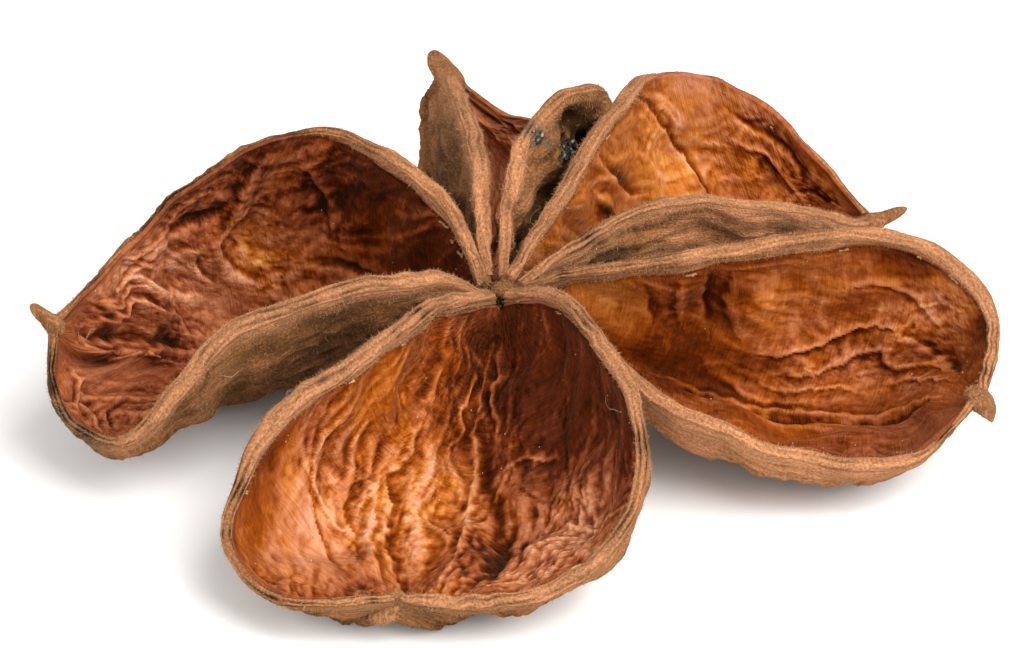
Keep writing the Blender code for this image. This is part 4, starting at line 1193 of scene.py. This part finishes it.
def follicle_piece(follicle, settings, materials):
    """One follicle: lining, lips and husk as one closed shell, with its beak."""
    lining, husk, along, across, looks = walls_of(follicle.name, settings)
    back = np.s_[:, ::-HUSK_STEP]  # the husk's points, from the right rim to the left one
    husk = husk[back]
    right_way, left_way = lining[:, -1] - lining[:, -5], lining[:, 0] - lining[:, 4]
    right_lip, right_strands = lip_rows(lining[:, -1], husk[:, 0], right_way, follicle, 800)
    left_lip, left_strands = lip_rows(husk[:, -1], lining[:, 0], left_way, follicle, 810)
    loop = np.concatenate([lining, right_lip, husk, left_lip], axis=1)
    rows, columns = loop.shape[:2]
    inner, lips = lining.shape[1], right_lip.shape[1]
    at_right, at_left = np.s_[:, inner : inner + lips], np.s_[:, -lips:]

    beyond = np.linspace(0, 1, lips + 2)[None, 1:-1]
    right_out = beyond * np.linalg.norm(lining[:, -1] - husk[:, 0], axis=1)[:, None] * LIP_ROUND
    left_out = (1 - beyond) * np.linalg.norm(lining[:, 0] - husk[:, -1], axis=1)[:, None] * LIP_ROUND
    right_band = np.clip((looks["over"][:, -1:] + right_out) / 0.3, 0, 1)
    left_band = np.clip((looks["over"][:, :1] + left_out) / 0.3, 0, 1)
    ones = np.ones((rows, husk.shape[1]))
    band = np.concatenate([looks["band"], right_band, ones, left_band], axis=1)

    def over_loop(values, husk_values):
        right = np.repeat(values[:, -1:], lips, axis=1)
        left = np.repeat(values[:, :1], lips, axis=1)
        return np.concatenate([values, right, husk_values, left], axis=1)

    husk_from_rim = np.minimum(across[:, -1:] - across, across - across[:, :1])[back]
    near_rim = np.exp(-((husk_from_rim / RIM_REACH) ** 2))
    values = {key: over_loop(looks[key], 0 * ones) for key in ("tone", "pink", "rough", "lip")}
    values |= {key: over_loop(looks[key], looks[key][back]) for key in ("stain_and_painted_light", "grey")}
    skin = 0.1 + 0.4 * np.clip(1 - np.abs(band - 0.1) * 2, 0, 1)
    for place, strands in ((at_right, right_strands), (at_left, left_strands)):
        values["lip"][place] = skin[place]
        # painted shade in the grooves between the strands, a little painted light on their crests
        values["stain_and_painted_light"][place] += STRAND_SHADE * strands.clip(-0.3, 0.1)
    bare = 1 + WORN_HAIR * (values["stain_and_painted_light"] + 0.3).clip(-0.7, 0)
    fuzz = over_loop(1 + 0 * looks["tone"], 0.16 + 0.84 * near_rim) * bare
    values["rim"] = over_loop(looks["pale"], near_rim * looks["pale"][back])
    values["fuzz"] = np.where(band > 0.6, fuzz, 0.0)
    lanes = np.repeat(np.linspace(-LANES, LANES, inner)[None, :], rows, axis=0)
    place_u, place_v = over_loop(along, along[back]), over_loop(lanes, lanes[back])
    place_v[at_right] += right_out
    place_v[at_left] -= left_out
    places = np.stack([place_u, place_v], axis=2).reshape(-1, 2) * MM
    points = loop.reshape(-1, 3)
    height = points[:, 2]
    points[:, 2] = np.where(height < FLOOR_EASE, FLOOR_EASE * np.exp(height / FLOOR_EASE - 1), height)

    faces = shell_faces(rows, columns)
    kinds = [*(band.ravel()[np.array(faces[:-2])].mean(axis=1) > 0.5).astype(int).tolist(), 1, 1]
    beak, beak_faces = beak_points(follicle)
    first = len(points)
    points = np.concatenate([points, beak])
    faces += [tuple(first + k for k in face) for face in beak_faces]
    kinds += [1] * len(beak_faces)
    fills = {"rim": 0.4, "fuzz": 1.0}  # what the beak has of them
    for key, field_values in values.items():
        values[key] = np.concatenate([field_values.ravel(), np.full(len(beak), fills.get(key, 0.0))])
    places = np.concatenate([places, beak[:, :2] * MM])
    piece = mesh_piece("follicle_" + follicle.name, points, faces, materials, places, values, kinds)
    face_outwards(piece)
    return piece


def hub_piece(material):
    """Where the follicles meet, uneven and felted, and the broken stalk under it."""
    rings, sides = 60, 64
    profile = smooth_line([(r, z, 0) for r, z in HUB_PROFILE], rings)
    angle, cos, sin = circle(sides)
    x, y = HUB_CENTRE
    points = []
    for radius, height, _ in profile:
        lobes = 1 + 0.1 * np.cos(5 * angle) + 0.08 * noise(angle * 3, angle * 0 + height / 1.5, 77)
        ring = radius * lobes[:, None]
        points.append(np.concatenate([x + ring * cos, y + ring * sin, np.full_like(cos, height)], axis=1))
    points = np.concatenate(points)
    ends = [(x, y, profile[0, 1] + 0.2), (x, y, profile[-1, 1])]
    points = np.concatenate([points, ends])
    count = len(points)
    # painted shade: the middle darkens the deeper it lies between the follicles
    deep = -((HUB_DEEP - points[:, 2]) / 1.2).clip(0.3, 1)
    values = {"rim": np.full(count, 0.1), "fuzz": np.ones(count), "stain_and_painted_light": deep}
    faces = ring_faces(0, rings, sides)
    piece = mesh_piece("whorl_middle", points, faces, [material], points[:, :2] * MM, values)
    face_outwards(piece)
    return piece


def walls_of(name, settings):
    """Grids of a follicle's lining and husk by its name, worked out once."""
    if name not in WALLS:
        follicle = next(f for f in FOLLICLES if f.name == name)
        WALLS[name] = follicle_walls(follicle, settings.shape)
    return WALLS[name]


def frame_at(grid, share, side):
    """A place on a wall's grid and its directions: along the length, across, and out through the wall."""
    i = int(np.clip(share * (grid.shape[0] - 1), 3, grid.shape[0] - 4))
    j = int(np.clip((side + 1) / 2 * (grid.shape[1] - 1), 2, grid.shape[1] - 3))
    along = unit(grid[i + 3, j] - grid[i - 3, j])
    out = unit(np.cross(along, grid[i, j + 2] - grid[i, j - 2]))
    return grid[i, j], along, np.cross(out, along), out


def scrap_shapes(settings):
    """Points and faces of the papery scraps: thin flakes with ragged outlines and curled edges."""
    points, faces = [], []
    lengths, widths = 9, 5
    for number, (name, share, side, length, width) in enumerate(SCRAPS):
        place, along, across, out = frame_at(walls_of(name, settings)[0], share, side)
        u, v = np.meshgrid(np.linspace(-1, 1, lengths), np.linspace(-1, 1, widths), indexing="ij")
        ragged = 0.7 + 0.9 * noise(2.2 * u + 7 * number, 1.7 * v + number, 850)
        slim = np.sqrt((1 - 0.9 * u**2).clip(0.05)) * ragged.clip(0.2)
        lift = 0.06 + 0.25 * v**2 + 0.25 * noise(1.5 * u + number, v + number, 851)
        sheet = place + (u * length / 2)[..., None] * along + (v * width / 2 * slim)[..., None] * across
        sheet = sheet - lift[..., None] * out
        first = len(points) * lengths * widths
        points += [sheet, sheet - 0.05 * out]
        grid = np.arange(lengths * widths).reshape(lengths, widths) + first
        rim = [*grid[:, 0], *grid[-1, 1:], *grid[-2::-1, -1], *grid[0, -2:0:-1]]
        low = grid + lengths * widths
        for i in range(lengths - 1):
            for j in range(widths - 1):
                faces.append((grid[i, j], grid[i + 1, j], grid[i + 1, j + 1], grid[i, j + 1]))
                faces.append((low[i, j], low[i, j + 1], low[i + 1, j + 1], low[i + 1, j]))
        for a, b in zip(rim, rim[1:] + rim[:1], strict=True):
            faces.append((b, a, a + lengths * widths, b + lengths * widths))
    return np.concatenate([sheet.reshape(-1, 3) for sheet in points]), [tuple(map(int, f)) for f in faces]


def grain_shapes(centres, radii, squash, rounds, seed):
    """Points and faces of many small lumps, one at each centre, turned every way."""
    shape = bmesh.new()
    bmesh.ops.create_icosphere(shape, subdivisions=rounds, radius=1.0)
    lump = np.array([v.co[:] for v in shape.verts])
    corners = [[v.index for v in f.verts] for f in shape.faces]
    shape.free()
    draw = np.random.default_rng(seed)
    points, faces = [], []
    for k, (centre, radius) in enumerate(zip(centres, radii, strict=True)):
        turn, _ = np.linalg.qr(draw.normal(size=(3, 3)))
        uneven = 1 + 0.35 * draw.normal(size=(len(lump), 1)).clip(-1, 1)
        points.append(centre + radius * (lump * uneven * (1, 1, squash)) @ turn)
        faces += [tuple(k * len(lump) + c for c in corner) for corner in corners]
    return np.concatenate(points), faces


def crust_shapes(settings):
    """Points and faces of the mould: lumps crowded on a few spots of a husk."""
    draw = np.random.default_rng(61)
    centres, radii = [], []
    for name, share, side, spread, count in CRUSTS:
        place, along, across, out = frame_at(walls_of(name, settings)[1], share, side)
        for _ in range(count):
            offset = draw.normal(0, spread / 2, 2)
            centres.append(place + offset[0] * along + offset[1] * across + draw.uniform(-0.05, 0.22) * out)
            radii.append(0.09 + 0.38 * draw.random() ** 2)
    return grain_shapes(centres, radii, 0.7, 1, 62)


def speck_shapes(settings):
    """Points and faces of the pale dust specks that lie on linings and husks."""
    draw = np.random.default_rng(63)
    centres = []
    for follicle in FOLLICLES:
        for which, count, lift in ((0, 34, -0.04), (1, 22, 0.04)):
            grid = walls_of(follicle.name, settings)[which]
            shares, sides = draw.uniform(0.08, 0.92, count), draw.uniform(-0.95, 0.95, count)
            for share, side in zip(shares, sides, strict=True):
                place, _, _, out = frame_at(grid, share, side)
                centres.append(place + lift * out)
    return grain_shapes(centres, draw.uniform(0.05, 0.13, len(centres)), 0.5, 1, 64)


def thread_shapes(settings):
    """Points and faces of the stray hairs, each a thin curly tube."""
    steps, sides = 40, 4
    _, cos, sin = circle(sides)
    points, faces = [], []
    for number, (name, which, share, side, length, curl) in enumerate(THREADS):
        place, along, across, out = frame_at(walls_of(name, settings)[which], share, side)
        rise = out * (1 if which else -1)
        t = np.linspace(0, 1, steps)
        line = place + rise * (0.1 + 0.9 * np.sin(np.pi * t))[:, None] + along * (length * (t - 0.5))[:, None]
        line = line + across * (curl * np.sin(2 * np.pi * (t + 0.1 * number)))[:, None]
        line = line + rise * (0.4 * curl * np.cos(3 * np.pi * t + number))[:, None]
        way = unit(np.gradient(line, axis=0))
        side_way = unit(np.cross(way, rise))
        up_way = np.cross(side_way, way)
        radius = 0.04 * np.sqrt(np.sin(np.pi * t.clip(0.02, 0.98)))
        rings = [line[k] + radius[k] * (cos * side_way[k] + sin * up_way[k]) for k in range(steps)]
        first = number * (steps * sides + 2)
        points += [*rings, line[:1], line[-1:]]
        faces += ring_faces(first, steps, sides)
    return np.concatenate(points), faces


# Geometry nodes


def pile_tree(hair_material):
    """A node tree that stands short tapering hairs on a surface, more where its fuzz value is high."""
    tree = bpy.data.node_groups.new("velvet_pile", "GeometryNodeTree")
    face = tree.interface
    face.new_socket("Geometry", in_out="INPUT", socket_type="NodeSocketGeometry")
    for name in ("Hair length", "Hair radius", "Hairs per square metre"):
        face.new_socket(name, in_out="INPUT", socket_type="NodeSocketFloat")
    face.new_socket("Seed", in_out="INPUT", socket_type="NodeSocketInt")
    face.new_socket("Geometry", in_out="OUTPUT", socket_type="NodeSocketGeometry")

    given = add(tree, "NodeGroupInput").outputs
    seed = given["Seed"]
    fuzz = add(tree, "GeometryNodeInputNamedAttribute", {"Name": "fuzz"}, data_type="FLOAT")
    density = maths(tree, "MULTIPLY", given["Hairs per square metre"], fuzz.outputs[0])
    inputs = {"Mesh": given["Geometry"], "Density": density, "Seed": seed}
    roots = add(tree, "GeometryNodeDistributePointsOnFaces", inputs).outputs
    inputs = {"Vertices": 3, "Radius Top": 0.0, "Radius Bottom": given["Hair radius"]}
    inputs["Depth"] = given["Hair length"]
    hair = add(tree, "GeometryNodeMeshCone", inputs, fill_type="NGON")
    inputs = {0: [-angle for angle in HAIR_LEAN], 1: HAIR_LEAN, "Seed": seed}
    lean = add(tree, "FunctionNodeRandomValue", inputs, data_type="FLOAT_VECTOR")
    turned = add(tree, "FunctionNodeRotateEuler", {0: roots["Rotation"], 1: lean.outputs[0]}, space="LOCAL")
    inputs = {2: SHORTEST_HAIR, 3: LONGEST_HAIR, "Seed": seed}
    size = add(tree, "FunctionNodeRandomValue", inputs, data_type="FLOAT")
    inputs = {0: roots["Points"], "Instance": hair.outputs["Mesh"], "Rotation": turned.outputs[0]}
    stand = add(tree, "GeometryNodeInstanceOnPoints", {**inputs, "Scale": size.outputs[1]})
    real = add(tree, "GeometryNodeRealizeInstances", {0: stand.outputs[0]})
    finish = add(tree, "GeometryNodeSetMaterial", {0: real.outputs[0], "Material": hair_material})
    add(tree, "NodeGroupOutput", {0: finish.outputs[0]})
    return tree


def grown_piece(name, source, tree, numbers):
    """The plain mesh that a node tree makes of an object."""
    step = source.modifiers.new("grow", "NODES")
    step.node_group = tree
    for socket in tree.interface.items_tree:
        if socket.in_out == "INPUT" and socket.name in numbers:
            step[socket.identifier] = numbers[socket.name]
    seen = source.evaluated_get(bpy.context.evaluated_depsgraph_get())
    mesh = bpy.data.meshes.new_from_object(seen)
    source.modifiers.remove(step)
    mesh.name = name
    return placed(name, mesh)


# Operators


def husk_material(settings):
    """The husk's material, made once."""
    ready = bpy.data.materials.get("velvet_husk")
    if ready:
        return ready
    tones = settings.colours
    chosen = (tones.husk, tones.husk_dark, tones.rim, tones.husk_warm_lit)
    return velvet_husk("velvet_husk", *(hex_of(tone) for tone in chosen))


def lay(context, name, shapes, matter):
    """Adds a piece made of the points and faces that a function gives, and finishes the step."""
    declare(mesh_piece(name, *shapes(context.scene.lotus_pod), [dry_matter(matter)]))
    return {"FINISHED"}


class POD_OT_follicles(Operator):
    """Builds the five split follicles with their linings, lips and beaks"""

    bl_idname = "lotus_pod.follicles"
    bl_label = "Follicles"

    def execute(self, context):
        settings = context.scene.lotus_pod
        WALLS.clear()
        husk = husk_material(settings)
        lining = silky_lining("silky_lining", hex_of(settings.colours.lip))
        for follicle in FOLLICLES:
            declare(follicle_piece(follicle, settings, [lining, husk]))
        return {"FINISHED"}


class POD_OT_whorl_middle(Operator):
    """Builds the felted middle of the whorl and the broken stalk"""

    bl_idname = "lotus_pod.whorl_middle"
    bl_label = "Whorl middle"

    def execute(self, context):
        declare(hub_piece(husk_material(context.scene.lotus_pod)))
        return {"FINISHED"}


class POD_OT_velvet_pile(Operator):
    """Grows the short hairs of the husks and rims"""

    bl_idname = "lotus_pod.velvet_pile"
    bl_label = "Velvet pile"

    def execute(self, context):
        pile = context.scene.lotus_pod.pile
        tree = pile_tree(dry_matter("felt_hair"))
        for number, source in enumerate(["follicle_" + f.name for f in FOLLICLES] + ["whorl_middle"]):
            numbers = {
                "Hair length": pile.length,
                "Hair radius": pile.radius,
                "Hairs per square metre": pile.per_square_mm / MM**2,
                "Seed": pile.seed + number,
            }
            declare(grown_piece("velvet_on_" + source, bpy.data.objects[source], tree, numbers))
        return {"FINISHED"}


class POD_OT_membrane_scraps(Operator):
    """Lays the papery scraps of skin along the rims"""

    bl_idname = "lotus_pod.membrane_scraps"
    bl_label = "Membrane scraps"

    def execute(self, context):
        return lay(context, "membrane_scraps", scrap_shapes, "papery_membrane")


class POD_OT_mould_crusts(Operator):
    """Crowds the dark mould on the husks"""

    bl_idname = "lotus_pod.mould_crusts"
    bl_label = "Mould crusts"

    def execute(self, context):
        return lay(context, "mould_crusts", crust_shapes, "mould_crust")


class POD_OT_dust_specks(Operator):
    """Scatters pale dust specks"""

    bl_idname = "lotus_pod.dust_specks"
    bl_label = "Dust specks"

    def execute(self, context):
        return lay(context, "dust_specks", speck_shapes, "pale_plant_dust")


class POD_OT_stray_hairs(Operator):
    """Adds the few long hairs that came loose"""

    bl_idname = "lotus_pod.stray_hairs"
    bl_label = "Stray hairs"

    def execute(self, context):
        return lay(context, "stray_hairs", thread_shapes, "loose_plant_hair")


class POD_OT_stage(Operator):
    """Sets out the floor, the soft lights and the camera"""

    bl_idname = "lotus_pod.stage"
    bl_label = "Stage"

    def execute(self, context):
        stage = context.scene.lotus_pod.stage
        made, tree, shader = new_material("matt_white_paper")
        fill(tree, shader, {"Base Color": colour(PAPER), "Roughness": 0.9, "Specular IOR Level": 0.1})
        mesh = bpy.data.meshes.new("floor")
        far = FLOOR_REACH
        mesh.from_pydata([(-far, -far, 0), (far, -far, 0), (far, far, 0), (-far, far, 0)], [], [(0, 1, 2, 3)])
        mesh.materials.append(made)
        floor = placed("floor", mesh)

        x, y = WHORL_MIDDLE
        lens = bpy.data.cameras.new("camera")
        lens.lens = stage.lens
        lens.sensor_width = SENSOR_WIDTH
        lens.clip_start = 0.01
        camera = placed("camera", lens)
        camera.location = ((CAMERA_PLACE[0] + x) * MM, (CAMERA_PLACE[1] + y) * MM, CAMERA_PLACE[2] * MM)
        camera.rotation_euler = (radians(90) - stage.pitch, 0, 0)
        context.scene.camera = camera

        powers = (stage.key_power, stage.fill_power, stage.front_power)
        for power, (name, width, place) in zip(powers, LIGHTS, strict=True):
            lamp = bpy.data.lights.new(name, "AREA")
            lamp.energy = power
            lamp.size = width
            source = placed(name, lamp)
            source.location = place
            source.rotation_euler = (-source.location).to_track_quat("-Z", "Y").to_euler()

        world = bpy.data.worlds.new("studio")
        world.use_nodes = True
        back = world.node_tree.nodes["Background"]
        back.inputs["Color"].default_value = (1, 1, 1, 1)
        back.inputs["Strength"].default_value = stage.room
        context.scene.world = world
        context.scene.view_settings.view_transform = "Standard"
        return {"FINISHED"}


class POD_PT_panel(Panel):
    """The steps that build the pod"""

    bl_label = "Lotus pod"
    bl_idname = "POD_PT_panel"
    bl_space_type = "VIEW_3D"
    bl_region_type = "UI"
    bl_category = "Lotus pod"

    def draw(self, context):
        for step in STEPS:
            self.layout.operator(step.bl_idname)


STEPS = (
    POD_OT_follicles, POD_OT_whorl_middle, POD_OT_velvet_pile, POD_OT_membrane_scraps, POD_OT_mould_crusts,
    POD_OT_dust_specks, POD_OT_stray_hairs, POD_OT_stage,
)
GROUPS = (PodShape, PodPile, PodColours, PodStage, PodSettings)


def register():
    """Registers the settings, the steps and the panel."""
    for item in (*GROUPS, *STEPS, POD_PT_panel):
        bpy.utils.register_class(item)
    bpy.types.Scene.lotus_pod = PointerProperty(type=PodSettings)


def unregister():
    """Takes them away again."""
    del bpy.types.Scene.lotus_pod
    for item in reversed((*GROUPS, *STEPS, POD_PT_panel)):
        bpy.utils.unregister_class(item)


def main():
    """Builds the pod step by step."""
    register()
    for step in STEPS:
        group, name = step.bl_idname.split(".")
        getattr(getattr(bpy.ops, group), name)()


if __name__ == "__main__":
    main()
